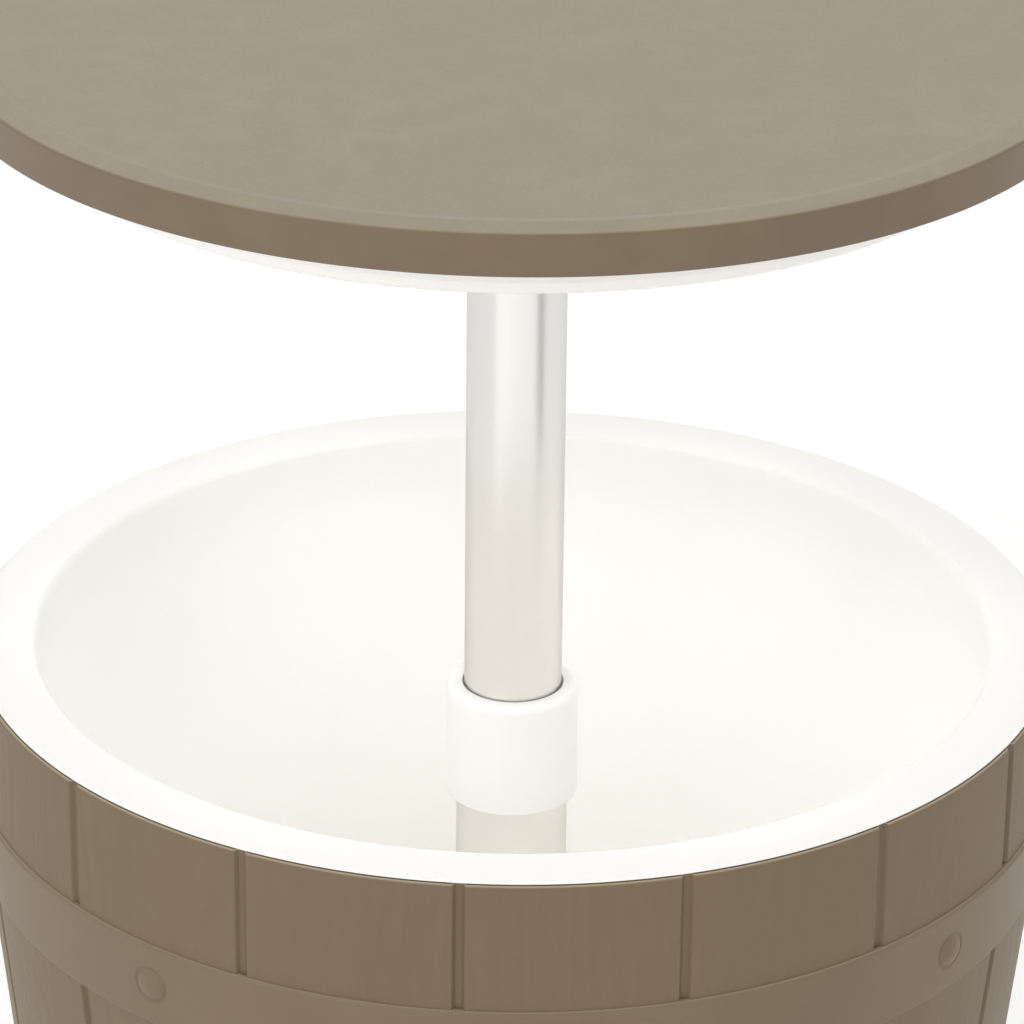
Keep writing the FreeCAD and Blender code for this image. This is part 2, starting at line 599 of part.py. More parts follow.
def foot_ring():
    """Channel-shaped ring welded under the base pan, with pockets for the pads."""
    high = PAN_HEIGHT - PAN_THICKNESS
    web_top = FOOT_WEB_BOTTOM + FOOT_WEB_THICKNESS
    body = ring(foot_ring_outer(), foot_ring_inner(), FOOT_WEB_BOTTOM, high)
    trough = ring(foot_ring_outer() - FOOT_RING_WALL, foot_ring_inner() + FOOT_RING_WALL, web_top, high)
    circle = foot_ring_outer() + foot_ring_inner()
    pockets = pegs(PAD_RADIUS, circle, PAD_COUNT, FOOT_WEB_BOTTOM, FOOT_WEB_BOTTOM + PAD_POCKET)
    return body.cut([trough] + pockets)


def foot_pads():
    """Soft pads pressed into the foot ring."""
    circle = foot_ring_outer() + foot_ring_inner()
    return Part.makeCompound(pegs(PAD_RADIUS, circle, PAD_COUNT, 0, FOOT_WEB_BOTTOM + PAD_POCKET))


def lower_tube():
    """Outer tube of the post, with the hole of the collar's screw."""
    body = ring(LOWER_TUBE_RADIUS, LOWER_TUBE_BORE, PAN_HEIGHT, LOWER_TUBE_TOP)
    return body.cut(bar(SCREW_HOLE, 0, LOWER_TUBE_RADIUS + 1, COLLAR_BOTTOM + COLLAR_SCREW_RISE))


def foot_plug():
    """Threaded plug in the lower end of the outer tube."""
    return ring(LOWER_TUBE_BORE - FIT, FOOT_BOLT_RADIUS + FIT, PAN_HEIGHT, PAN_HEIGHT + FOOT_PLUG_LENGTH)


def foot_washer():
    """Washer under the base pan."""
    high = PAN_HEIGHT - PAN_THICKNESS
    return ring(FOOT_WASHER_RADIUS, FOOT_BOLT_RADIUS + HOLE_GAP, high - FOOT_WASHER_THICKNESS, high)


def foot_bolt():
    """Bolt that pulls the outer tube on to the base pan."""
    seat = PAN_HEIGHT - PAN_THICKNESS - FOOT_WASHER_THICKNESS
    corner = FOOT_BOLT_HEAD_FLATS / math.sqrt(3)
    points = [FreeCAD.Vector(x, y, seat - FOOT_BOLT_HEAD_HEIGHT) for x, y in on_circle(corner, 6)]
    head = Part.Face(Part.makePolygon(points + points[:1])).extrude(FreeCAD.Vector(0, 0, FOOT_BOLT_HEAD_HEIGHT))
    shank = disc(FOOT_BOLT_RADIUS, seat, PAN_HEIGHT + FOOT_PLUG_LENGTH - SCREW_SPARE)
    return joined([head, shank])


def floor_gasket():
    """Gasket between the floor flange and the bucket."""
    body = ring(FLOOR_FLANGE_RADIUS, LOWER_TUBE_RADIUS + FIT, BUCKET_FLOOR, FLOOR_FLANGE_BOTTOM)
    holes = pegs(SCREW_HOLE, FLOOR_SCREW_CIRCLE, FLOOR_SCREW_COUNT, BUCKET_FLOOR, FLOOR_FLANGE_BOTTOM, 45)
    return body.cut(holes)


def floor_flange():
    """Flange that clamps the gasket round the outer tube."""
    bore = LOWER_TUBE_RADIUS + FIT
    plate = ring(FLOOR_FLANGE_RADIUS, bore, FLOOR_FLANGE_BOTTOM, FLOOR_FLANGE_TOP)
    neck = ring(bore + FLOOR_NECK_WALL, bore, FLOOR_FLANGE_BOTTOM, FLOOR_FLANGE_TOP + FLOOR_NECK_HEIGHT)
    holes = pegs(SCREW_HOLE, FLOOR_SCREW_CIRCLE, FLOOR_SCREW_COUNT, FLOOR_FLANGE_BOTTOM, FLOOR_FLANGE_TOP, 45)
    return joined([plate, neck]).cut(holes)


def post_collar():
    """Collar on the upper end of the outer tube."""
    body = disc(COLLAR_RADIUS, COLLAR_BOTTOM, COLLAR_TOP)
    body = body.makeFillet(COLLAR_TOP_ROUND, [e for e in body.Edges if e.BoundBox.ZMin > COLLAR_TOP - FIT])
    body = body.makeChamfer(COLLAR_BOTTOM_CHAMFER, [e for e in body.Edges if e.BoundBox.ZMax < COLLAR_BOTTOM + FIT])
    seat = disc(LOWER_TUBE_RADIUS + FIT, COLLAR_BOTTOM, COLLAR_TOP - COLLAR_LIP)
    mouth = disc(UPPER_TUBE_RADIUS + COLLAR_TUBE_GAP, COLLAR_BOTTOM, COLLAR_TOP)
    hole = bar(SCREW_HOLE, 0, COLLAR_RADIUS + 1, COLLAR_BOTTOM + COLLAR_SCREW_RISE)
    return body.cut([seat, mouth, hole])


def collar_bush():
    """Guide bush of the upper tube, held under the collar's lip."""
    bore = UPPER_TUBE_RADIUS + SLIDE_FIT
    sleeve = ring(LOWER_TUBE_BORE - FIT, bore, BUSH_BOTTOM, LOWER_TUBE_TOP)
    flange = ring(LOWER_TUBE_RADIUS, bore, LOWER_TUBE_TOP, LOWER_TUBE_TOP + BUSH_FLANGE)
    return joined([sleeve, flange])


def collar_screw():
    """Screw at the rear of the collar, into the outer tube's wall."""
    height = COLLAR_BOTTOM + COLLAR_SCREW_RISE
    shank = bar(SCREW_RADIUS, LOWER_TUBE_BORE + MOULD_GAP, COLLAR_RADIUS, height)
    head = bar(SCREW_HEAD_RADIUS, COLLAR_RADIUS, COLLAR_RADIUS + SCREW_HEAD_HEIGHT, height)
    recess_start = COLLAR_RADIUS + SCREW_HEAD_HEIGHT - SCREW_RECESS_DEPTH
    recess = bar(SCREW_RECESS_RADIUS, recess_start, COLLAR_RADIUS + SCREW_HEAD_HEIGHT, height)
    return joined([shank, head]).cut(recess)


def table_top():
    """Upper shell of the lid: skin with raised lip, edge band, screw bosses."""
    bend = 1 - math.sqrt(0.5)
    field = LID_TOP - LIP_RISE
    shoulder = LID_TOP - LIP_FALL
    crest = (LIP_CREST_RADIUS, LID_TOP)
    edge_top = (LID_RADIUS - LID_EDGE_ROUND, shoulder)
    edge_middle = (LID_RADIUS - LID_EDGE_ROUND * bend, shoulder - LID_EDGE_ROUND * bend)
    edge_side = (LID_RADIUS, shoulder - LID_EDGE_ROUND)
    low_side = (LID_RADIUS, LID_BOTTOM + LID_LOWER_ROUND)
    low_middle = (LID_RADIUS - LID_LOWER_ROUND * bend, LID_BOTTOM + LID_LOWER_ROUND * bend)
    low_edge = (LID_RADIUS - LID_LOWER_ROUND, LID_BOTTOM)
    inner = LID_RADIUS - LID_SKIN
    edges = [line((0, SKIN_UNDERSIDE), (0, field)), line((0, field), (LIP_FOOT_RADIUS, field))]
    edges += [line((LIP_FOOT_RADIUS, field), crest), line(crest, edge_top)]
    edges += [arc(edge_top, edge_middle, edge_side), line(edge_side, low_side), arc(low_side, low_middle, low_edge)]
    edges += [line(low_edge, (inner, LID_BOTTOM)), line((inner, LID_BOTTOM), (inner, SKIN_UNDERSIDE))]
    edges.append(line((inner, SKIN_UNDERSIDE), (0, SKIN_UNDERSIDE)))
    bosses = pegs(LID_BOSS_RADIUS, LID_BOSS_CIRCLE, LID_BOSS_COUNT, PLUG_FLOOR, SKIN_UNDERSIDE + 1)
    hole_top = PLUG_BOTTOM + LID_SCREW_LENGTH + SCREW_SPARE
    holes = pegs(SCREW_HOLE, LID_BOSS_CIRCLE, LID_BOSS_COUNT, PLUG_FLOOR, hole_top)
    return joined([turned(edges)] + bosses).cut(holes)


def lid_lower_shell():
    """White underside of the lid: flange inside the band, plug with the seal's seat."""
    flange_low = LID_BOTTOM + LOWER_FLANGE_INSET
    flange_outer = LID_RADIUS - LID_SKIN - MOULD_GAP
    bend = 1 - math.sqrt(0.5)
    inner = PLUG_RADIUS - PLUG_WALL
    hole = UPPER_TUBE_RADIUS + HOLE_GAP
    points = [(hole, PLUG_FLOOR), (inner, PLUG_FLOOR), (inner, flange_low + PLUG_WALL)]
    points += [(flange_outer, flange_low + PLUG_WALL), (flange_outer, flange_low), (PLUG_RADIUS, flange_low)]
    side = (PLUG_RADIUS, PLUG_BOTTOM + PLUG_ROUND)
    under = (PLUG_RADIUS - PLUG_ROUND, PLUG_BOTTOM)
    middle = (PLUG_RADIUS - PLUG_ROUND * bend, PLUG_BOTTOM + PLUG_ROUND * bend)
    edges = [line(a, b) for a, b in zip(points, points[1:] + [side])]
    edges += [arc(side, middle, under), line(under, (hole, PLUG_BOTTOM)), line((hole, PLUG_BOTTOM), points[0])]
    body = turned(edges)
    seat_low = PLUG_BOTTOM + SEAL_RISE
    seat = ring(PLUG_RADIUS + 1, PLUG_RADIUS - SEAL_SEAT_DEPTH, seat_low, seat_low + SEAL_HEIGHT)
    lid_holes = pegs(SCREW_HOLE, LID_BOSS_CIRCLE, LID_BOSS_COUNT, PLUG_BOTTOM, PLUG_FLOOR)
    holes = pegs(SCREW_HOLE, SOCKET_SCREW_CIRCLE, SOCKET_SCREW_COUNT, PLUG_BOTTOM, PLUG_FLOOR, 45)
    return body.cut([seat] + lid_holes + holes)


def lid_seal():
    """Soft ring round the plug."""
    low = PLUG_BOTTOM + SEAL_RISE
    body = ring(SEAL_RADIUS, PLUG_RADIUS - SEAL_SEAT_DEPTH, low, low + SEAL_HEIGHT)
    lips = [e for e in body.Edges if abs(e.BoundBox.XMax - SEAL_RADIUS) < FIT and e.BoundBox.ZLength < FIT]
    return body.makeFillet((SEAL_RADIUS - PLUG_RADIUS) / 2, lips)


def lid_foam():
    """Insulation disc between the lid's shells."""
    low = PLUG_FLOOR
    high = SKIN_UNDERSIDE - MOULD_GAP
    body = disc(PLUG_RADIUS - PLUG_WALL - MOULD_GAP, low, high)
    holes = pegs(LID_BOSS_RADIUS + HOLE_GAP, LID_BOSS_CIRCLE, LID_BOSS_COUNT, low, high)
    return body.cut(holes + [disc(SOCKET_FLANGE_RADIUS + HOLE_GAP, low, high)])


def cross_height():
    """Height of the screw that pins the tube in its socket."""
    return PLUG_FLOOR + CROSS_SCREW_RISE


def socket_ribs():
    """Webs between the socket's flange and neck."""
    low = PLUG_FLOOR + SOCKET_FLANGE_THICKNESS / 2
    inner = (UPPER_TUBE_RADIUS + SOCKET_NECK_RADIUS) / 2
    points = [(inner, low), (SOCKET_FLANGE_RADIUS - MOULD_GAP, low), (inner, low + SOCKET_RIB_HEIGHT)]
    face = outline(polygon(points))
    face.translate(FreeCAD.Vector(0, -SOCKET_RIB_THICKNESS / 2, 0))
    rib = face.extrude(FreeCAD.Vector(0, SOCKET_RIB_THICKNESS, 0))
    step = 360.0 / SOCKET_RIB_COUNT
    return [spun(rib, step * (i + 0.5)) for i in range(SOCKET_RIB_COUNT)]


def tube_socket():
    """Flanged cup on the plug's inner face that takes the upper tube."""
    flange = disc(SOCKET_FLANGE_RADIUS, PLUG_FLOOR, PLUG_FLOOR + SOCKET_FLANGE_THICKNESS)
    neck = disc(SOCKET_NECK_RADIUS, PLUG_FLOOR, SKIN_UNDERSIDE)
    screw_top = PLUG_BOTTOM + SOCKET_SCREW_LENGTH
    boss_top = screw_top + SCREW_SPARE
    bosses = pegs(SOCKET_BOSS_RADIUS, SOCKET_SCREW_CIRCLE, SOCKET_SCREW_COUNT, PLUG_FLOOR, boss_top, 45)
    body = joined([flange, neck] + socket_ribs() + bosses)
    bore = disc(UPPER_TUBE_RADIUS + FIT, PLUG_FLOOR, SKIN_UNDERSIDE - SOCKET_CAP)
    cross = bar(CROSS_SCREW_RADIUS + FIT, -SOCKET_NECK_RADIUS - 1, SOCKET_NECK_RADIUS + 1, cross_height())
    holes = pegs(SCREW_HOLE, SOCKET_SCREW_CIRCLE, SOCKET_SCREW_COUNT, PLUG_FLOOR, boss_top, 45)
    return body.cut([bore, cross] + holes)


def tube_cross_screw():
    """Screw through the socket's neck and the upper tube."""
    reach = SOCKET_NECK_RADIUS
    height = cross_height()
    shank = bar(CROSS_SCREW_RADIUS, -reach, reach, height)
    head = bar(SCREW_HEAD_RADIUS, reach, reach + SCREW_HEAD_HEIGHT, height)
    return joined([shank, head])


def rivet_height():
    """Height of the rivet that holds the lock stem in the upper tube."""
    return UPPER_TUBE_BOTTOM + STEM_PLUG_LENGTH / 2


def upper_tube():
    """Inner tube of the post, with its cross holes."""
    body = ring(UPPER_TUBE_RADIUS, UPPER_TUBE_BORE, UPPER_TUBE_BOTTOM, SKIN_UNDERSIDE - SOCKET_CAP)
    reach = UPPER_TUBE_RADIUS + 1
    cross = bar(CROSS_SCREW_RADIUS + FIT, -reach, reach, cross_height())
    rivet = bar(STEM_RIVET_RADIUS + FIT, -reach, reach, rivet_height())
    return body.cut([cross, rivet])


def lock_stem():
    """Plug in the end of the upper tube, with the journal that the ring turns on."""
    plug = disc(UPPER_TUBE_BORE - FIT, UPPER_TUBE_BOTTOM, UPPER_TUBE_BOTTOM + STEM_PLUG_LENGTH)
    flange = disc(UPPER_TUBE_RADIUS - FIT, STEM_SHOULDER, UPPER_TUBE_BOTTOM)
    journal = disc(JOURNAL_RADIUS, JOURNAL_END, STEM_SHOULDER)
    hole = disc(LOCK_SCREW_RADIUS + FIT, JOURNAL_END, JOURNAL_END + LOCK_SCREW_LENGTH)
    rivet = bar(STEM_RIVET_RADIUS + FIT, -UPPER_TUBE_RADIUS, UPPER_TUBE_RADIUS, rivet_height())
    return joined([plug, flange, journal]).cut([hole, rivet])


def stem_rivet():
    """Rivet through the upper tube and the lock stem."""
    reach = UPPER_TUBE_RADIUS - 2 * FIT
    return bar(STEM_RIVET_RADIUS, -reach, reach, rivet_height())


def lock_ring():
    """Split ring that slides in the outer tube and grips it when the lid is twisted."""
    outer = LOWER_TUBE_BORE - MOULD_GAP
    body = ring(outer, JOURNAL_RADIUS + FIT, LOCK_RING_BOTTOM, LOCK_RING_TOP)
    corner = FreeCAD.Vector(-LOCK_RING_SPLIT / 2, 0, LOCK_RING_BOTTOM)
    return body.cut(Part.makeBox(LOCK_RING_SPLIT, outer + 1, LOCK_RING_HEIGHT, corner))


def lock_washer():
    """Washer that keeps the ring on its journal."""
    return ring(LOCK_WASHER_RADIUS, LOCK_SCREW_RADIUS + FIT, JOURNAL_END - LOCK_WASHER_THICKNESS, JOURNAL_END)


def lock_screw():
    """Screw up into the lock stem."""
    seat = JOURNAL_END - LOCK_WASHER_THICKNESS
    head = disc(LOCK_SCREW_HEAD_RADIUS, seat - LOCK_SCREW_HEAD_HEIGHT, seat)
    shank = disc(LOCK_SCREW_RADIUS, seat, seat + LOCK_SCREW_LENGTH)
    recess = disc(LOCK_SCREW_RADIUS, seat - LOCK_SCREW_HEAD_HEIGHT, seat - LOCK_SCREW_HEAD_HEIGHT / 2)
    return joined([head, shank]).cut(recess)


def base_screws():
    """Screws up through the base pan into the shell's ledge."""
    seat = PAN_HEIGHT - PAN_THICKNESS
    return screws(base_screw_circle(), BASE_SCREW_COUNT, seat, BASE_SCREW_LENGTH, True)


def floor_flange_screws():
    """Screws down through flange and gasket into the bucket's bosses."""
    return screws(FLOOR_SCREW_CIRCLE, FLOOR_SCREW_COUNT, FLOOR_FLANGE_TOP, FLOOR_SCREW_LENGTH, False, 45)


def lid_shell_screws():
    """Screws up through the plug into the table top's bosses."""
    return screws(LID_BOSS_CIRCLE, LID_BOSS_COUNT, PLUG_BOTTOM, LID_SCREW_LENGTH, True)


def socket_screws():
    """Screws up through the plug into the socket's bosses."""
    return screws(SOCKET_SCREW_CIRCLE, SOCKET_SCREW_COUNT, PLUG_BOTTOM, SOCKET_SCREW_LENGTH, True, 45)


PIECES = [
    barrel_shell, bucket_liner, bucket_jacket, drain_fitting, drain_gasket, drain_nut, drain_plug,
    base_pan, base_screws, foot_ring, foot_pads,
    lower_tube, foot_plug, foot_washer, foot_bolt, floor_gasket, floor_flange, floor_flange_screws,
    post_collar, collar_bush, collar_screw,
    table_top, lid_lower_shell, lid_seal, lid_foam, lid_shell_screws,
    tube_socket, socket_screws, tube_cross_screw, upper_tube,
    lock_stem, stem_rivet, lock_ring, lock_washer, lock_screw,
]

for piece in PIECES:
    shape = piece()
    if not shape.isValid() or not shape.Solids:
        raise ValueError(piece.__name__ + " is not a sound solid")
    shape.exportStep("parts/" + piece.__name__ + ".step")
    volume = round(shape.Volume / 1000, 1)
    print(piece.__name__, len(shape.Solids), "solids", volume, "cm3")
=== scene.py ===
import math

import bmesh
import bpy
import numpy as np
from mathutils import Matrix, Vector


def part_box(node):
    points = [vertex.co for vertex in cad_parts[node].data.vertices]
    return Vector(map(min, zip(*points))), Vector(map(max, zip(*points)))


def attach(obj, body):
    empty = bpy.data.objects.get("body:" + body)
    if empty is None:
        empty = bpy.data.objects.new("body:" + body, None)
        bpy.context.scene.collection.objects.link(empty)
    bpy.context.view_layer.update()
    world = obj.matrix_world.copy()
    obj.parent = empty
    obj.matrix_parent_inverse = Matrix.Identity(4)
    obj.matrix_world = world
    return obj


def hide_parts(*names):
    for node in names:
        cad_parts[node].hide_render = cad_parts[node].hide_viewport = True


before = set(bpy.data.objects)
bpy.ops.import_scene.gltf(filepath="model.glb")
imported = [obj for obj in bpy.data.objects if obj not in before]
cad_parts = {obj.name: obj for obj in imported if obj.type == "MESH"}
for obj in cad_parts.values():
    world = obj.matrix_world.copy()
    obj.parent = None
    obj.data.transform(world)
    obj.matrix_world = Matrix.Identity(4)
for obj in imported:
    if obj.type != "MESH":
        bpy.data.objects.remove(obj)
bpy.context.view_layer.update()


# Camera. The photograph was taken with a long lens from above the rim, looking down into the
# open bucket. The camera's place comes from the ellipses of the rim and the lid. Distances
# are in metres, angles in radians, and lens and sensor in millimetres.
CAMERA_BACK = 2.0977
CAMERA_ABOVE_RIM = 1.0210
CAMERA_PITCH = 0.4311
CAMERA_YAW = -0.0006
CAMERA_ROLL = 0.0113
CAMERA_LENS = 180.28
CAMERA_SENSOR = 36.0
CAMERA_SIGHT = 50.0


def camera_turn(pitch, yaw, roll):
    """Rotation whose columns are the picture's right, its up and backwards along the view.
    The view is level ahead, turned by the yaw and tipped down by the pitch; right and up are
    then turned about it by the roll."""
    ahead = math.cos(pitch)
    view = Vector((math.sin(yaw) * ahead, math.cos(yaw) * ahead, -math.sin(pitch)))
    level = Vector((math.cos(yaw), -math.sin(yaw), 0))
    up = level.cross(view)
    right = math.cos(roll) * level + math.sin(roll) * up
    top = math.cos(roll) * up - math.sin(roll) * level
    return Matrix((right, top, -view)).transposed().to_4x4()


camera = bpy.data.objects.new("camera", bpy.data.cameras.new("camera"))
camera.data.lens = CAMERA_LENS
camera.data.sensor_width = CAMERA_SENSOR
camera.data.clip_end = CAMERA_SIGHT
eye = (0, -CAMERA_BACK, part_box("bucket_liner")[1].z + CAMERA_ABOVE_RIM)
tilt = camera_turn(CAMERA_PITCH, CAMERA_YAW, CAMERA_ROLL)
camera.matrix_world = Matrix.Translation(eye) @ tilt
bpy.context.scene.collection.objects.link(camera)
bpy.context.scene.camera = camera
bpy.context.scene.view_settings.view_transform = "Standard"


# Studio. A white sweep under even light: bright walls and a dim ceiling, one broad lamp from
# the left that rounds the tub, and a ring of faint discs under the lid for the deep bucket.
# The camera sees plain white, and gloss a shade less.

# The walls give a share of their light by the sine of the angle over the horizon. Sizes are in
# metres and powers in watts.
WALL_LIGHT = 1.93
WALL_COLOUR = (1.0, 0.995, 0.985)
LIGHT_BY_HEIGHT = (
    (0.0, 0.42), (0.25, 0.46), (0.45, 0.77), (0.55, 1.0), (0.68, 1.0), (0.78, 0.15), (1.0, 0.0))
BACKDROP_IN_GLOSS = 0.79
FLOOR_HALF = 6.0
FLOOR_COLOUR = (0.88, 0.88, 0.88)
FLOOR_LIFT = 0.19
KEY_LAMP_SPOT, KEY_LAMP_AIM = (-1.8, -2.45, 2.3), (0, 0, 0.5)
KEY_LAMP_SIZE, KEY_LAMP_POWER = 2.4, 24.0
DISCS, DISC_CIRCLE, DISC_HEIGHT = 6, 0.12, 0.795
DISC_AIM_HEIGHT, DISC_LEAN = 0.3, 1.15
DISC_SIZE, DISC_POWER = 0.08, 0.0245
DISC_COLOUR, DISC_SPREAD = (1.0, 0.96, 0.84), math.radians(40)


def emptied(owner):
    """The node tree of a material or world, emptied."""
    owner.use_nodes = True
    owner.node_tree.nodes.clear()
    return owner.node_tree


def wire(tree, source, target):
    """Gives an input socket another socket's output, a colour or a number."""
    if isinstance(source, bpy.types.NodeSocket):
        tree.links.new(source, target)
    else:
        target.default_value = (*source, 1) if isinstance(source, tuple) else source


def sums(tree, operation, *values):
    """Output of a Math node on up to three sockets or numbers."""
    node = tree.nodes.new("ShaderNodeMath")
    node.operation = operation
    for socket, value in zip(node.inputs, values):
        wire(tree, value, socket)
    return node.outputs[0]


def seen_directly(tree):
    """Mask that is 1 for what the camera, gloss and glass see, and 0 for light that falls."""
    path = tree.nodes.new("ShaderNodeLightPath")
    seen = sums(tree, "MAXIMUM", path.outputs["Is Camera Ray"], path.outputs["Is Glossy Ray"])
    return sums(tree, "MAXIMUM", seen, path.outputs["Is Transmission Ray"])


def backdrop(name, corners, material):
    """Flat sheet of the studio through four corners."""
    mesh = bpy.data.meshes.new(name)
    mesh.from_pydata(corners, [], [(0, 1, 2, 3)])
    mesh.materials.append(material)
    sheet = bpy.data.objects.new(name, mesh)
    bpy.context.scene.collection.objects.link(sheet)
    return sheet


def lamp(name, spot, aim, size, power, shape="SQUARE"):
    """Area lamp at a spot, turned to face the aim."""
    light = bpy.data.lights.new(name, "AREA")
    light.shape = shape
    light.size = size
    light.energy = power
    holder = bpy.data.objects.new(name, light)
    holder.location = spot
    holder.rotation_euler = (Vector(aim) - Vector(spot)).to_track_quat("-Z", "Y").to_euler()
    bpy.context.scene.collection.objects.link(holder)
    return holder


world = bpy.data.worlds.new("studio")
bpy.context.scene.world = world
tree = emptied(world)
glow = tree.nodes.new("ShaderNodeBackground")
wire(tree, WALL_COLOUR, glow.inputs["Color"])
way = tree.nodes.new("ShaderNodeSeparateXYZ")
wire(tree, tree.nodes.new("ShaderNodeTexCoord").outputs["Generated"], way.inputs[0])
ramp = tree.nodes.new("ShaderNodeFloatCurve")
curve = ramp.mapping.curves[0]
for height, share in LIGHT_BY_HEIGHT[1:-1]:
    curve.points.new(height, share)
for point, (height, share) in zip(curve.points, LIGHT_BY_HEIGHT):
    point.location = (height, share)
ramp.mapping.update()
wire(tree, way.outputs["Z"], ramp.inputs["Value"])
wire(tree, sums(tree, "MULTIPLY", ramp.outputs["Value"], WALL_LIGHT), glow.inputs["Strength"])
white = tree.nodes.new("ShaderNodeBackground")
wire(tree, (1, 1, 1), white.inputs["Color"])
plain_view = tree.nodes.new("ShaderNodeLightPath").outputs["Is Camera Ray"]
brightness = sums(tree, "MULTIPLY_ADD", plain_view, 1 - BACKDROP_IN_GLOSS, BACKDROP_IN_GLOSS)
wire(tree, brightness, white.inputs["Strength"])
mix = tree.nodes.new("ShaderNodeMixShader")
wire(tree, seen_directly(tree), mix.inputs[0])
wire(tree, glow.outputs[0], mix.inputs[1])
wire(tree, white.outputs[0], mix.inputs[2])
wire(tree, mix.outputs[0], tree.nodes.new("ShaderNodeOutputWorld").inputs["Surface"])

floor_paper = bpy.data.materials.new("floor_paper")
tree = emptied(floor_paper)
paper = tree.nodes.new("ShaderNodeBsdfPrincipled")
wire(tree, FLOOR_COLOUR, paper.inputs["Base Color"])
paper.inputs["Roughness"].default_value = 0.9
paper.inputs["Specular IOR Level"].default_value = 0.0
wire(tree, (1, 1, 1), paper.inputs["Emission Color"])
wire(tree, sums(tree, "MULTIPLY", seen_directly(tree), FLOOR_LIFT), paper.inputs["Emission Strength"])
wire(tree, paper.outputs[0], tree.nodes.new("ShaderNodeOutputMaterial").inputs["Surface"])
square = ((-1, -1), (1, -1), (1, 1), (-1, 1))
backdrop("floor", [(x * FLOOR_HALF, y * FLOOR_HALF, 0) for x, y in square], floor_paper)

# Three flags beside the set are seen only in gloss: a dark one draws the line down the post's
# tube, and a pale one on each side greys its edge. Each has an angle from straight ahead
# towards the right, a distance, a width and a brightness.
FLAG_TOP = 0.8
FLAGS = (
    ("dark_flag", 57, 0.9, 0.26, 0.37), ("left_flag", -88, 0.9, 1.5, 0.88),
    ("right_flag", 100, 1.1, 1.2, 0.90))
for name, turn, away, width, brightness in FLAGS:
    cloth = bpy.data.materials.new(name + "_cloth")
    tree = emptied(cloth)
    shine = tree.nodes.new("ShaderNodeEmission")
    shine.inputs["Strength"].default_value = brightness
    wire(tree, shine.outputs[0], tree.nodes.new("ShaderNodeOutputMaterial").inputs["Surface"])
    turn = math.radians(turn)
    middle = away * np.array([math.sin(turn), -math.cos(turn), 0])
    side = width / 2 * np.array([math.cos(turn), math.sin(turn), 0])
    lift = np.array([0, 0, FLAG_TOP])
    foot, far_foot = middle - side, middle + side
    flag = backdrop(name, [foot, far_foot, far_foot + lift, foot + lift], cloth)
    flag.visible_camera = False
    flag.visible_diffuse = False
    flag.visible_shadow = False
    flag.visible_transmission = False

lamp("key_lamp", KEY_LAMP_SPOT, KEY_LAMP_AIM, KEY_LAMP_SIZE, KEY_LAMP_POWER)
for number in range(DISCS):
    turn = 2 * math.pi * number / DISCS
    x, y = DISC_CIRCLE * math.cos(turn), DISC_CIRCLE * math.sin(turn)
    aim = (DISC_LEAN * x, DISC_LEAN * y, DISC_AIM_HEIGHT)
    spot = (x, y, DISC_HEIGHT)
    bucket_lamp = lamp("bucket_lamp_" + str(number + 1), spot, aim, DISC_SIZE, DISC_POWER, "DISK")
    bucket_lamp.data.color = DISC_COLOUR
    bucket_lamp.data.spread = DISC_SPREAD
    bucket_lamp.visible_camera = False
    bucket_lamp.visible_glossy = False
    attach(bucket_lamp, "lid")


# Tub. One blow-moulded shell of brown resin in the shape of a stave-built barrel: upright
# under the rim, then a gentle bend into a taper. A flat-bottomed groove parts each two of its
# sixteen staves. The bucket drops in from above and the base pan screws on from below.

# From here on shapes are in millimetres, with heights over the floor.
MM = 0.001
RIM_HEIGHT = 551.0
RIM_RADIUS = 245.0
SHELL_TOP = RIM_HEIGHT - 1.2
SHELL_BOTTOM = 4.0
SHELL_WALL = 3.2
TOP_ROUND = 1.5
BEND_TOP = RIM_HEIGHT - 45.0
BEND_RADIUS = 526.17
TAPER = math.radians(6.0)
STAVES = 16
FIRST_GROOVE = math.radians(-5.0)
LEDGE_LOW, LEDGE_TOP, LEDGE_WIDTH = 40.0, 44.0, 18.0

# The share of a groove's depth by the distance from its middle, and its grid columns. Over
# the round at the top a groove loses a part of its depth.
GROOVE_DEPTH = 2.0
GROOVE_LOSS = 0.4
GROOVE_FORM = (
    (0.0, 1.0), (1.1, 1.0), (1.3, 0.97), (1.5, 0.88), (2.7, 0.12), (2.95, 0.03), (3.25, 0.0))
GROOVE_STEPS = (
    -5.2, -4.0, -3.5, -3.25, -3.1, -2.95, -2.7, -2.3, -1.9, -1.5, -1.4, -1.3, -1.1, 0.0)
STAVE_STEPS = 12

# Heights of the shell's grid rows: wide apart in the taper and close in the bend.
FOOT_ROWS, TAPER_ROWS = (6, 12), np.linspace(24, 440, 20)
BEND_ROWS, UPRIGHT_ROWS = np.linspace(446, BEND_TOP, 16), (512, 525, 538, 546)
INNER_ROWS, INNER_FOOT_ROWS = (540, 506, 490, 470, 450, 300, 150, 60), (36, 12)

# Sides of small round shapes, and the way that an upright piece faces.
TINY_SIDES, SMALL_SIDES = 48, 96
UP = (0.0, 0.0, 1.0)


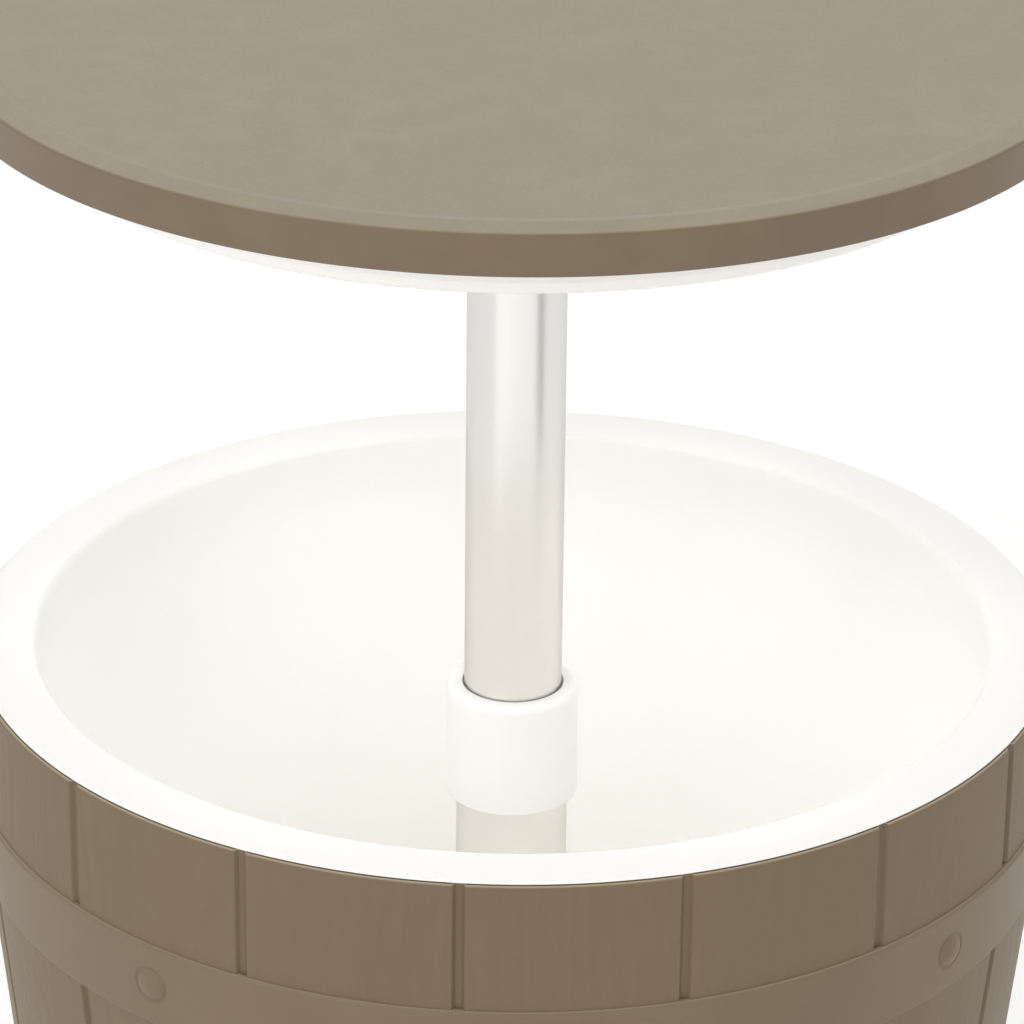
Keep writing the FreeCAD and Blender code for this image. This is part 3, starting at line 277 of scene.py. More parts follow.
def gridded(name, points, seam_u, seam_v):
    """Mesh over grids of points in millimetres, given as copies, rows, columns and the three
    coordinates: each four neighbours in a grid make a face. A seam that is true joins the last
    row (u) or column (v) to the first. Points that fall together, as at a pole, become one."""
    points = np.asarray(points)
    points = points.reshape(-1, *points.shape[-3:])
    copies, rows, across = points.shape[:3]
    u = np.arange(rows if seam_u else rows - 1)[None, :, None]
    v = np.arange(across if seam_v else across - 1)[None, None, :]
    start = np.arange(copies)[:, None, None] * rows * across
    up, on = (u + 1) % rows, (v + 1) % across
    faces = np.stack([start + u * across + v, start + u * across + on,
                      start + up * across + on, start + up * across + v], axis=-1)
    mesh = bpy.data.meshes.new(name)
    mesh.from_pydata((points.reshape(-1, 3) * MM).tolist(), [], faces.reshape(-1, 4).tolist())
    work = bmesh.new()
    work.from_mesh(mesh)
    bmesh.ops.remove_doubles(work, verts=work.verts, dist=1e-6)
    work.to_mesh(mesh)
    work.free()
    piece = bpy.data.objects.new(name, mesh)
    bpy.context.scene.collection.objects.link(piece)
    return piece


def about(axis, origin, radius, along, angle):
    """Points about an axis through an origin: origin + along * axis + radius * cos(angle) *
    first + radius * sin(angle) * second. For an upright axis first points to the front, and for
    a level one up; second is axis x first, so that angles turn to the right about UP."""
    axis, origin = np.array(axis, float), np.array(origin, float)
    first = np.array([0.0, -1.0, 0.0]) if abs(axis[2]) > 0.5 else np.array([0.0, 0.0, 1.0])
    second = np.cross(axis, first)
    radius, along, angle = (part[..., None] for part in np.broadcast_arrays(radius, along, angle))
    return origin + along * axis + radius * (np.cos(angle) * first + np.sin(angle) * second)


def finish(piece, body, slot, material, *replaced, sharp=50.0):
    """Shades a piece smooth except at edges sharper than the angle, gives it its body and
    material, and hides the CAD nodes that it stands for. The slot is not used."""
    mesh = piece.data
    mesh.polygons.foreach_set("use_smooth", np.ones(len(mesh.polygons), bool))
    mesh.set_sharp_from_angle(angle=math.radians(sharp))
    mesh.materials.clear()
    mesh.materials.append(material)
    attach(piece, body)
    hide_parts(*replaced)


def rounded(corners, steps=5):
    """Closed outline from corners given as radius, height and fillet. A fillet of radius f at
    a corner of half angle h starts f / tan(h) along each side, and its arc turns about a point
    f / sin(h) from the corner. One more point lies a fifth of f beside each end of the arc."""
    corners = np.array(corners, float)
    befores, afters = np.roll(corners, 1, axis=0), np.roll(corners, -1, axis=0)
    runs = []
    for before, corner, after in zip(befores, corners, afters):
        point, fillet = corner[:2], corner[2]
        if fillet == 0:
            runs.append(point[None])
            continue
        back = (before[:2] - point) / np.linalg.norm(before[:2] - point)
        on = (after[:2] - point) / np.linalg.norm(after[:2] - point)
        half = math.acos(float(np.clip(back @ on, -1, 1))) / 2
        reach = fillet / math.tan(half)
        centre = point + (back + on) / np.linalg.norm(back + on) * fillet / math.sin(half)
        turn = math.pi - 2 * half
        part = np.linspace(0, 1, steps + 1)[:, None]
        start = point + back * reach - centre
        end = point + on * reach - centre
        arc = centre + (np.sin((1 - part) * turn) * start + np.sin(part * turn) * end) / math.sin(turn)
        beside = reach + 0.2 * fillet
        runs += [point[None] + back * beside, arc, point[None] + on * beside]
    return np.concatenate(runs)


def evenly(count):
    """Angles round a circle, spaced by a full turn over their count, from zero."""
    return np.arange(count) * 2 * math.pi / count


def turned(name, outline, sides, axis=UP, origins=((0, 0, 0),)):
    """Body of revolution about an axis through each origin, from an outline of radius and
    distance along the axis that keeps the material on its left. An outline that starts on the
    axis closes in a pole at each end."""
    angle = evenly(sides)
    grids = [about(axis, origin, outline[:, :1], outline[:, 1:], angle) for origin in origins]
    return gridded(name, grids, bool(outline[0, 0] > 0), True)


def carved(piece, tool, operation):
    """Cuts a tool's body out of a piece (DIFFERENCE) or joins it on (UNION), and removes it."""
    knife = piece.modifiers.new("carving", "BOOLEAN")
    knife.object = tool
    knife.operation = operation
    graph = bpy.context.evaluated_depsgraph_get()
    mesh = bpy.data.meshes.new_from_object(piece.evaluated_get(graph))
    piece.modifiers.clear()
    piece.data = mesh
    bpy.data.objects.remove(tool)


def drilled(piece, radius, start, end, axis, origins):
    """Cuts a round hole about an axis, from one distance along it to another."""
    outline = np.array([(0, start), (radius, start), (radius, end), (0, end)])
    carved(piece, turned("drill", outline, TINY_SIDES, axis, origins), "DIFFERENCE")


def shell_radius(height, inset):
    """Radius of the shell at a height, measured inwards from its outer face: upright above
    the bend, then an arc about a centre at the bend's top, then the tangent at the taper."""
    radius = BEND_RADIUS - inset
    drop = BEND_TOP - height
    centre = RIM_RADIUS - BEND_RADIUS
    arc = centre + np.sqrt(np.maximum(radius ** 2 - drop ** 2, 0))
    knee = radius * math.sin(TAPER)
    taper = centre + radius * math.cos(TAPER) - (drop - knee) * math.tan(TAPER)
    return np.where(drop <= 0, RIM_RADIUS - inset, np.where(drop < knee, arc, taper))


def columns(radius, first, count, near, between):
    """Angles of a grid's columns at each row's radius, measured from straight ahead towards
    the right. About each of the evenly spaced middle lines a column keeps its distance d, at
    angle asin(d / radius); the columns between two middle lines share out the rest evenly."""
    near = np.array(near)
    across = np.arange(1, between + 1) / (between + 1)
    middle = (first + 2 * math.pi / count * np.arange(count))[None, :, None]
    radius = radius[:, None, None]
    side = np.arcsin(near[-1] / radius)
    close = middle + np.arcsin(near / radius)
    open_part = middle + side + (2 * math.pi / count - 2 * side) * across
    return np.concatenate([close, open_part], axis=2).reshape(len(radius), -1)


def group(name, inputs, outputs):
    """Empty shader group with number inputs, given as name and default, and number outputs.
    Returns its tree with its input and output nodes."""
    tree = bpy.data.node_groups.new(name, "ShaderNodeTree")
    for label, value in inputs:
        socket = tree.interface.new_socket(label, in_out="INPUT", socket_type="NodeSocketFloat")
        socket.default_value = value
    for label in outputs:
        tree.interface.new_socket(label, in_out="OUTPUT", socket_type="NodeSocketFloat")
    return tree, tree.nodes.new("NodeGroupInput"), tree.nodes.new("NodeGroupOutput")


def stretched(tree, along):
    """Object coordinates with Z multiplied by a number or socket."""
    split = tree.nodes.new("ShaderNodeSeparateXYZ")
    wire(tree, tree.nodes.new("ShaderNodeTexCoord").outputs["Object"], split.inputs[0])
    join = tree.nodes.new("ShaderNodeCombineXYZ")
    wire(tree, split.outputs["X"], join.inputs["X"])
    wire(tree, split.outputs["Y"], join.inputs["Y"])
    wire(tree, sums(tree, "MULTIPLY", split.outputs["Z"], along), join.inputs["Z"])
    return join.outputs[0]


def noise(tree, vector, scale, detail, roughness=0.55):
    """Value of a noise texture, 0 to 1, at a scale given as a number or socket."""
    node = tree.nodes.new("ShaderNodeTexNoise")
    wire(tree, vector, node.inputs["Vector"])
    wire(tree, scale, node.inputs["Scale"])
    node.inputs["Detail"].default_value = detail
    node.inputs["Roughness"].default_value = roughness
    return node.outputs["Fac"]


def ranged(tree, value, low, high, to_low=0.0, to_high=1.0):
    """Value mapped from low..high to to_low..to_high, held at both ends."""
    node = tree.nodes.new("ShaderNodeMapRange")
    wire(tree, value, node.inputs["Value"])
    labels = ("From Min", "From Max", "To Min", "To Max")
    for label, number in zip(labels, (low, high, to_low, to_high)):
        node.inputs[label].default_value = number
    return node.outputs["Result"]


def blend_colour(tree, factor, low, high):
    """Colour between two colours or sockets by a factor."""
    node = tree.nodes.new("ShaderNodeMix")
    node.data_type = "RGBA"
    wire(tree, factor, node.inputs[0])
    wire(tree, low, node.inputs[6])
    wire(tree, high, node.inputs[7])
    return node.outputs[2]


def placed(tree, source, **values):
    """A group node in a material, with its inputs set by name."""
    node = tree.nodes.new("ShaderNodeGroup")
    node.node_tree = source
    for label, value in values.items():
        node.inputs[label.capitalize()].default_value = value
    return node


def surface(name, fill):
    """Material whose tree is filled by a function that is given the tree and its shader."""
    material = bpy.data.materials.new(name)
    tree = emptied(material)
    shader = tree.nodes.new("ShaderNodeBsdfPrincipled")
    wire(tree, shader.outputs[0], tree.nodes.new("ShaderNodeOutputMaterial").inputs["Surface"])
    fill(tree, shader)
    return material


def bumped(tree, shader, height, distance):
    """Relief of the shader's surface from a height of 0 to 1 over a depth in metres."""
    node = tree.nodes.new("ShaderNodeBump")
    node.inputs["Distance"].default_value = distance
    wire(tree, height, node.inputs["Height"])
    wire(tree, node.outputs[0], shader.inputs["Normal"])


# Fibres drawn out along Z, as in wood, and bent to the sides by a slow noise: Height is a fine
# noise with a coarse one under it, Shade the coarse one with soft patches.
FIBRE_BEND = (0.05, 0.05, 0.0)
fibre_grain, entry, leave = group(
    "fibre_grain", [("Scale", 300.0), ("Along", 0.03)], ["Shade", "Height"])
slow = fibre_grain.nodes.new("ShaderNodeTexNoise")
slow.inputs["Scale"].default_value = 7.0
slow.inputs["Detail"].default_value = 1.0
wire(fibre_grain, stretched(fibre_grain, 0.9), slow.inputs["Vector"])
bend = fibre_grain.nodes.new("ShaderNodeVectorMath")
bend.operation = "MULTIPLY_ADD"
wire(fibre_grain, slow.outputs["Color"], bend.inputs[0])
bend.inputs[1].default_value = FIBRE_BEND
wire(fibre_grain, stretched(fibre_grain, entry.outputs["Along"]), bend.inputs[2])
fibres = bend.outputs[0]
fine = noise(fibre_grain, fibres, entry.outputs["Scale"], 6.0, 0.62)
coarse_scale = sums(fibre_grain, "MULTIPLY", entry.outputs["Scale"], 0.4)
coarse = noise(fibre_grain, fibres, coarse_scale, 3.0)
patches = noise(fibre_grain, stretched(fibre_grain, 0.5), 9.0, 3.0)
relief = sums(fibre_grain, "MULTIPLY_ADD", fine, 0.4, sums(fibre_grain, "MULTIPLY", coarse, 0.6))
shade = sums(fibre_grain, "MULTIPLY_ADD", coarse, 0.6, sums(fibre_grain, "MULTIPLY", patches, 0.4))
wire(fibre_grain, relief, leave.inputs["Height"])
wire(fibre_grain, ranged(fibre_grain, shade, 0.3, 0.7), leave.inputs["Shade"])

# The skin of a moulding: Patch is cloudy, and Speck a fine speckle over it.
moulded_mottle, entry, leave = group(
    "moulded_mottle", [("Scale", 60.0), ("Speckle", 900.0)], ["Patch", "Speck"])
plain = stretched(moulded_mottle, 1.0)
cloud = noise(moulded_mottle, plain, entry.outputs["Scale"], 5.0, 0.6)
wire(moulded_mottle, ranged(moulded_mottle, cloud, 0.3, 0.7), leave.inputs["Patch"])
wire(moulded_mottle, noise(moulded_mottle, plain, entry.outputs["Speckle"], 2.0), leave.inputs["Speck"])

# Wear and painted highlight: Mask is 1 where the surface turns outwards sharply, as at an edge that
# hands rub and that catches a highlight.
rubbed_and_highlit_edges, entry, leave = group("rubbed_and_highlit_edges", [("Amount", 1.0)], ["Mask"])
pointed = rubbed_and_highlit_edges.nodes.new("ShaderNodeNewGeometry").outputs["Pointiness"]
edge = ranged(rubbed_and_highlit_edges, pointed, 0.52, 0.62)
wire(rubbed_and_highlit_edges, sums(rubbed_and_highlit_edges, "MULTIPLY", edge, entry.outputs["Amount"]), leave.inputs["Mask"])

# Painted light: Mask rises to 1 as the surface turns up towards the light from above, from Start to
# nearly level.
# Laid over a pale colour it paints up-facing faces as lit from above; with a Start near level and
# a dark colour it paints shade on level tops.
NEARLY_LEVEL = 0.97
painted_light_by_tilt, entry, leave = group("painted_light_by_tilt", [("Start", 0.6)], ["Mask"])
facing = painted_light_by_tilt.nodes.new("ShaderNodeSeparateXYZ")
wire(painted_light_by_tilt, painted_light_by_tilt.nodes.new("ShaderNodeNewGeometry").outputs["Normal"], facing.inputs[0])
risen = sums(painted_light_by_tilt, "SUBTRACT", facing.outputs["Z"], entry.outputs["Start"])
span = sums(painted_light_by_tilt, "SUBTRACT", NEARLY_LEVEL, entry.outputs["Start"])
facing_up_share = ranged(painted_light_by_tilt, sums(painted_light_by_tilt, "DIVIDE", risen, span), 0.0, 1.0)
wire(painted_light_by_tilt, facing_up_share, leave.inputs["Mask"])


def laid_over(tree, below, colour, source, **values):
    """A colour laid over the one below by the Mask of a group node with its values."""
    return blend_colour(tree, placed(tree, source, **values).outputs["Mask"], below, colour)


def stave_resin(tree, shader):
    """Brown resin with a moulded wood grain: dull and faintly patchy. Its edges are paler, partly as
    wear and partly as a painted highlight; the top round is painted paler as a highlight, and the
    level top under the rim is painted dark as the shade in the seam."""
    grain = placed(tree, fibre_grain, scale=330.0, along=0.03)
    mottle = placed(tree, moulded_mottle, scale=30.0, speckle=1400.0)
    resin = blend_colour(tree, grain.outputs["Shade"], (0.162, 0.117, 0.069), (0.181, 0.133, 0.080))
    patchy = sums(tree, "MULTIPLY", mottle.outputs["Patch"], 0.2)
    resin = blend_colour(tree, patchy, resin, (0.198, 0.150, 0.095))
    # Painted highlight: paler where the top round turns up to the light.
    resin = laid_over(tree, resin, (0.44, 0.36, 0.26), painted_light_by_tilt, start=0.5)
    # Painted shade: darker on the level top under the rim, as the seam's shadow.
    resin = laid_over(tree, resin, (0.11, 0.09, 0.06), painted_light_by_tilt, start=0.94)
    # Paler edges, partly wear and partly a painted highlight.
    resin = laid_over(tree, resin, (0.30, 0.25, 0.19), rubbed_and_highlit_edges, amount=0.6)
    wire(tree, resin, shader.inputs["Base Color"])
    shader.inputs["Specular IOR Level"].default_value = 0.3
    wire(tree, ranged(tree, grain.outputs["Height"], 0.2, 0.8, 0.46, 0.58), shader.inputs["Roughness"])
    bumped(tree, shader, grain.outputs["Height"], 0.0006)


def hoop_resin(tree, shader):
    """The same resin from a polished part of the mould: no grain and a little more gloss. The top
    round is painted paler as a highlight, and the edges are paler, partly as wear and partly as a
    painted highlight."""
    mottle = placed(tree, moulded_mottle, scale=22.0, speckle=1400.0)
    resin = blend_colour(tree, mottle.outputs["Patch"], (0.177, 0.130, 0.080), (0.193, 0.144, 0.091))
    # Painted highlight on the top round, where it turns up to the light.
    resin = laid_over(tree, resin, (0.31, 0.25, 0.17), painted_light_by_tilt, start=0.72)
    # Paler edges, partly wear and partly a painted highlight.
    resin = laid_over(tree, resin, (0.32, 0.27, 0.21), rubbed_and_highlit_edges, amount=0.7)
    wire(tree, resin, shader.inputs["Base Color"])
    shader.inputs["Specular IOR Level"].default_value = 0.3
    wire(tree, ranged(tree, mottle.outputs["Patch"], 0.0, 1.0, 0.40, 0.48), shader.inputs["Roughness"])
    bumped(tree, shader, mottle.outputs["Speck"], 0.00005)


tub_resin = surface("tub_resin", stave_resin)
smooth_resin = surface("tub_resin_smooth", hoop_resin)

# The outer face runs up from the bottom and over a quarter round at the top; the inner face
# comes down with the ledge that the base pan is screwed to.
turn = np.radians(np.linspace(0, 90, 6))
round_inset = TOP_ROUND * (1 - np.cos(turn))
round_rows = SHELL_TOP - TOP_ROUND * (1 - np.sin(turn))
outer_rows = np.concatenate([
    [SHELL_BOTTOM, *FOOT_ROWS], TAPER_ROWS, BEND_ROWS, UPRIGHT_ROWS, round_rows])
outer_inset = np.concatenate([np.zeros(len(outer_rows) - len(turn)), round_inset])
inner_rows = np.array([SHELL_TOP, *INNER_ROWS])
low_rows = np.array([*INNER_FOOT_ROWS, SHELL_BOTTOM])
ledge_wall = shell_radius(np.array([LEDGE_TOP, LEDGE_LOW]), SHELL_WALL)
ledge_inner = float(ledge_wall[1]) - LEDGE_WIDTH
ledge_rows = [LEDGE_TOP, LEDGE_TOP, LEDGE_LOW, LEDGE_LOW]
height = np.concatenate([outer_rows, inner_rows, ledge_rows, low_rows])
radius = np.concatenate([
    shell_radius(outer_rows, 0) - outer_inset, shell_radius(inner_rows, SHELL_WALL),
    [ledge_wall[0], ledge_inner, ledge_inner, ledge_wall[1]], shell_radius(low_rows, SHELL_WALL)])
near = GROOVE_STEPS + tuple(-d for d in GROOVE_STEPS[-2::-1])
groove_form = np.interp(np.abs(near), *np.transpose(GROOVE_FORM))
in_groove = np.concatenate([groove_form, np.zeros(STAVE_STEPS)])
outer_depth = GROOVE_DEPTH * (1 - GROOVE_LOSS * outer_inset / TOP_ROUND)
depth = np.concatenate([outer_depth, np.zeros(len(height) - len(outer_rows))])
cut = depth[:, None] * np.tile(in_groove, STAVES)
angle = columns(radius, FIRST_GROOVE, STAVES, near, STAVE_STEPS)
shell_points = about(UP, (0, 0, 0), radius[:, None] - cut, height[:, None], angle)
tub_shell = gridded("tub_shell", shell_points, True, True)

# The drain leaves through a flat round boss at the rear, in the middle of a stave.
DRAIN_TURN = math.radians(6.25)
DRAIN_HEIGHT = 270.0
DRAIN_HOLE = 11.4
BOSS_RADIUS = 21.0
BOSS_PROUD = 2.6
BOSS_DEPTH = 3.0
DRILL_SPARE = 10.0
drain_way = (-math.sin(DRAIN_TURN), math.cos(DRAIN_TURN), 0.0)
drain_line = [(0, 0, DRAIN_HEIGHT)]
boss_start = float(shell_radius(DRAIN_HEIGHT, SHELL_WALL)) - BOSS_DEPTH
drain_face = float(shell_radius(DRAIN_HEIGHT, 0)) + BOSS_PROUD
drilled(tub_shell, DRAIN_HOLE, boss_start - DRILL_SPARE, drain_face + DRILL_SPARE, drain_way, drain_line)
finish(tub_shell, "root", "tub_resin", tub_resin, "barrel_shell")
drain_boss = turned("drain_boss", rounded([
    (DRAIN_HOLE, boss_start, 0), (BOSS_RADIUS, boss_start, 0), (BOSS_RADIUS, drain_face, 1.2),
    (DRAIN_HOLE, drain_face, 0.4)]), SMALL_SIDES, drain_way, drain_line)
finish(drain_boss, "root", "tub_resin", smooth_resin, "barrel_shell")


# Hoops. Two smooth bands moulded proud of the staves, one under the rim and one near the
# floor, each straight from edge to edge with a small round along both edges. Four low rivet
# domes stand on each, in line with the middles of staves, each in a shallow ring groove.
HOOP_HEIGHT = 40.0
HOOP_PROUD = 1.8
HOOP_ROUND = 1.5
HOOP_LOWS = {"upper_hoop": RIM_HEIGHT - 100.5, "lower_hoop": 66.0}
HOOP_BURIED = 1.5
HOOP_FACE_ROWS = np.linspace(0.07, 0.93, 32)
RIVETS = 4
FIRST_RIVET = math.radians(51.25)
RIVET_RADIUS = 7.9
RIVET_PROUD = 2.6
DOME_POWER = 2.2
RIVET_GROOVE, GROOVE_FLOOR, GROOVE_RISE = 0.5, 0.3, 1.0
RIVET_SIDES = 72

# Each rivet is a round patch that lies a hair over the hoop's face. Under it the hoop is
# pressed in, and the patch's edge turns down into that dimple and closes behind it.
RIVET_PATCH = 12.4
PATCH_LIFT = 0.008
DOME_RINGS = np.concatenate([np.linspace(0, 7.2, 12), np.linspace(7.4, RIVET_RADIUS, 5)])
GROOVE_RINGS = RIVET_RADIUS + np.array([0.15, 0.3, 0.5, 0.7, 0.9, 1.1, 1.3, 2.2, 3.3])
EDGE_RINGS = (RIVET_PATCH - 0.7, RIVET_PATCH - 0.2, RIVET_PATCH, 0)
EDGE_LIFTS = (-0.005, -0.012, -1.0, -1.0)
DIMPLE, DIMPLE_INSET, DIMPLE_SLOPE = 0.9, 2.0, 1.2
NEAR_RIVET, NEAR_RIVET_COLUMNS, COLUMNS_BETWEEN = 13.8, 25, 70


def rivet_height(reach):
    """Height of a rivet's face over the hoop at a distance from its middle: a dome that falls
    with a power of the distance into the ring groove, which then rises to level in an S, the
    share 3 a^2 - 2 a^3 of its depth at the share a of its width."""
    dome = (RIVET_PROUD + RIVET_GROOVE) * (1 - (reach / RIVET_RADIUS) ** DOME_POWER) - RIVET_GROOVE
    away = np.clip((reach - RIVET_RADIUS - GROOVE_FLOOR) / GROOVE_RISE, 0, 1)
    groove = -RIVET_GROOVE * (1 - away * away * (3 - 2 * away))
    return np.where(reach < RIVET_RADIUS, dome, groove) + PATCH_LIFT


rings = np.concatenate([DOME_RINGS, GROOVE_RINGS])
lift = np.concatenate([rivet_height(rings), EDGE_LIFTS])[:, None]
rings = np.concatenate([rings, EDGE_RINGS])[:, None]
turn = -evenly(RIVET_SIDES)
step = 2 * math.pi / RIVETS
near = np.linspace(-NEAR_RIVET, NEAR_RIVET, NEAR_RIVET_COLUMNS)
for name, low in HOOP_LOWS.items():
    high = low + HOOP_HEIGHT
    low_out, high_out = shell_radius(np.array([low, high]), -HOOP_PROUD)
    low_in, high_in = shell_radius(np.array([low, high]), HOOP_BURIED)
    slope = [[high_out - low_out, HOOP_HEIGHT, 0]]
    faced = HOOP_FACE_ROWS[:, None] * slope + [[low_out, low, 0]]
    outline = rounded([(low_in, low, 0), (low_out, low, HOOP_ROUND), *faced,
                       (high_out, high, HOOP_ROUND), (high_in, high, 0)])
    angle = columns(outline[:, 0], FIRST_RIVET, RIVETS, near, COLUMNS_BETWEEN)
    off = np.abs((angle - FIRST_RIVET + step / 2) % step - step / 2) * outline[:, :1]
    middle = low + HOOP_HEIGHT / 2
    reach = np.hypot(off, outline[:, 1:] - middle)
    on_face = outline[:, :1] > (low_in + high_in) / 2 + 1
    pressed = DIMPLE * np.clip((RIVET_PATCH - DIMPLE_INSET - reach) / DIMPLE_SLOPE, 0, 1) * on_face
    hoop_points = about(UP, (0, 0, 0), outline[:, :1] - pressed, outline[:, 1:], angle)
    hoop = gridded(name, hoop_points, True, True)
    finish(hoop, "root", "tub_resin", smooth_resin, "barrel_shell")

    level = middle + rings * np.sin(turn)
    wall = low_out + (high_out - low_out) * (level - low) / HOOP_HEIGHT
    for number in range(RIVETS):
        angle = FIRST_RIVET + step * number + rings * np.cos(turn) / wall
        rivet = gridded(name.replace("hoop", "rivet_") + str(number + 1),
                        about(UP, (0, 0, 0), wall + lift, level, angle), False, True)
        finish(rivet, "root", "tub_resin", smooth_resin, "barrel_shell")


# Base. A dark moulded pan with ribs, screwed up into the tub's ledge from below, with a
# channel-shaped foot ring welded under it and six soft pads pressed into the ring.
DOWN = (0.0, 0.0, -1.0)
PAN_UNDERSIDE = 36.0
PAN_SCREWS, PAN_SCREW_LENGTH = 8, 16.0
PADS, PAD_CIRCLE = 6, 169.0
PAD_OUTLINE = ((0, 0.8, 0), (4.6, 0.8, 0.3), (5.2, 0, 0.3), (9, 0, 1.6), (9, 4, 0.3), (0, 4, 0))

# A screw's head as radius and height over its seat, and the cross recess in its top.
SCREW_SHANK, SCREW_TIP = 2.0, 1.5
SCREW_HEAD = ((4.0, 0), (4.0, 0.7), (3.85, 1.3), (3.4, 1.8), (2.7, 2.2))
SCREW_SIDES = 64
RECESS_REACH, RECESS_HALF_WIDTH = 1.95, 0.42
RECESS_TAPER, RECESS_HEIGHTS = 0.75, (2.4, 1.0, 0.9)


def moulded_plastic(low, high, rough, scale=14.0, speckle=900.0):
    """Fills a plain moulding's material: clouds between two colours, and a fine speckle."""
    def fill(tree, shader):
        """Wires the clouds to colour and roughness, and the speckle to the relief."""
        mottle = placed(tree, moulded_mottle, scale=scale, speckle=speckle)
        wire(tree, blend_colour(tree, mottle.outputs["Patch"], low, high), shader.inputs["Base Color"])
        dull = ranged(tree, mottle.outputs["Patch"], 0.0, 1.0, rough - 0.04, rough + 0.04)
        wire(tree, dull, shader.inputs["Roughness"])
        bumped(tree, shader, mottle.outputs["Speck"], 0.00004)
    return fill


def drawn_metal(low, high, rough, along=0.006):
    """Fills a metal's material: clouds between two colours, and a relief of fine lines drawn
    out along Z, or of an even grain at 1. The tint dims the edges a little, as plating does."""
    def fill(tree, shader):
        """Wires the clouds to the colour, and the lines to roughness and relief."""
        lines = noise(tree, stretched(tree, along), 420.0, 2.0)
        clouds = placed(tree, moulded_mottle, scale=14.0)
        wire(tree, blend_colour(tree, clouds.outputs["Patch"], low, high), shader.inputs["Base Color"])
        shader.inputs["Metallic"].default_value = 1.0
        shader.inputs["Specular Tint"].default_value = (0.7, 0.7, 0.7, 1)
        wire(tree, ranged(tree, lines, 0.2, 0.8, rough - 0.01, rough + 0.01), shader.inputs["Roughness"])
        bumped(tree, shader, lines, 0.0000015)
    return fill


def dressed(material, *names):
    """Gives CAD nodes that keep their own shapes a material."""
    for name in names:
        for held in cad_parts[name].material_slots:
            held.material = material


def ringed(radius, count, height, first=0.0):
    """Evenly spaced origins on a circle at a height, the first at an angle from +X."""
    angle = math.radians(first) + evenly(count)
    return np.stack([radius * np.cos(angle), radius * np.sin(angle), np.full(count, height)], axis=1)


def screws(name, body, origins, axis, length, replaced):
    """Pan-head screws whose heads face along an axis from seats at the origins. The cross
    recess has, at an angle t from an arm, the radius half width / sin(t), up to its reach."""
    angle = evenly(SCREW_SIDES)
    arm = np.abs((angle + math.pi / 4) % (math.pi / 2) - math.pi / 4)
    cross = np.minimum(RECESS_REACH, RECESS_HALF_WIDTH / np.maximum(np.sin(arm), 0.01))
    shank = [(0, -length), (SCREW_SHANK, SCREW_TIP - length), (SCREW_SHANK, 0)]
    radius, along = np.transpose([*shank, *SCREW_HEAD])
    radius = radius[:, None] * np.ones(SCREW_SIDES)
    radius = np.concatenate([radius, [cross, RECESS_TAPER * cross, 0 * cross]])
    along = np.concatenate([along, RECESS_HEIGHTS])[:, None]
    grids = [about(axis, origin, radius, along, angle) for origin in origins]
    piece = gridded(name, grids, False, True)
    finish(piece, body, "screw_steel", screw_steel, replaced, sharp=35)


base_resin = surface("base_resin", moulded_plastic((0.050, 0.041, 0.032), (0.066, 0.055, 0.044), 0.6))
pad_rubber = surface("pad_rubber", moulded_plastic((0.022, 0.022, 0.022), (0.034, 0.034, 0.033), 0.75))
screw_steel = surface("screw_steel", drawn_metal((0.52, 0.52, 0.51), (0.60, 0.60, 0.59), 0.32, 1.0))
dressed(base_resin, "base_pan", "foot_ring")
pads = turned("pads", rounded(PAD_OUTLINE), TINY_SIDES, UP, ringed(PAD_CIRCLE, PADS, 0))
finish(pads, "root", "pad_rubber", pad_rubber, "foot_pads")
pan_seats = ringed(ledge_inner + LEDGE_WIDTH / 2, PAN_SCREWS, PAN_UNDERSIDE)
screws("pan_screws", "root", pan_seats, DOWN, PAN_SCREW_LENGTH, "base_screws")


# Post, fixed part. An outer tube of anodised aluminium stands in the base pan's collar and is
# pulled down by a bolt through a threaded plug in its foot.
TUBE_OUTER, TUBE_BORE = 25.5, 23.7
TUBE_LOW, TUBE_HIGH = 40.0, 518.5
TUBE_EDGE = 0.3
POST_SIDES = 128


def upright_tube(name, bore, outer, low, high):
    """Upright tube from one height to another, with its edges lightly rounded."""
    corners = ((bore, low), (outer, low), (outer, high), (bore, high))
    return turned(name, rounded([(*corner, TUBE_EDGE) for corner in corners]), POST_SIDES)


outer_tube_aluminium = surface(
    "outer_tube_aluminium", drawn_metal((0.84, 0.825, 0.79), (0.90, 0.885, 0.855), 0.42))
cast_plug = surface("cast_plug", drawn_metal((0.55, 0.55, 0.54), (0.62, 0.62, 0.61), 0.45, 1.0))
outer_tube = upright_tube("outer_tube", TUBE_BORE, TUBE_OUTER, TUBE_LOW, TUBE_HIGH)
finish(outer_tube, "root", "outer_tube_aluminium", outer_tube_aluminium, "lower_tube")
dressed(cast_plug, "foot_plug")
dressed(screw_steel, "foot_washer", "foot_bolt")


# Bucket. One white moulding that hangs in the tub by its flat rim flange: a rounded mouth, an
# upright throat, a slow taper and a generous corner down to the floor, where the post passes
# through and a sump leads to the drain. A foam jacket lines its outside.
WIDE_SIDES = 384
RIM_EDGE = 243.4
RIM_GAP = 0.3
RIM_LIP_IN, RIM_LIP_OUT, RIM_LIP_LOW = 239.5, 241.5, 540.6
MOUTH_RADIUS = 215.9
BUCKET_FLOOR = 285.0
BUCKET_WALL = 3.0
THROAT_LOW, FLOOR_RADIUS = 521.0, 195.25
OUTER_THROAT_LOW, OUTER_FLOOR_RADIUS = 520.87, 198.0
POST_HOLE = 25.9
SUMP_WIDTH, SUMP_LENGTH, SUMP_DEPTH, SUMP_BACK = 50.0, 40.0, 30.0, 171.25
SUMP_CORNER, SUMP_FOOT_ROUND, SUMP_LIP = 8.0, 4.0, 1.4
SUMP_CUT, SUMP_DRILL = 2.0, 6.0


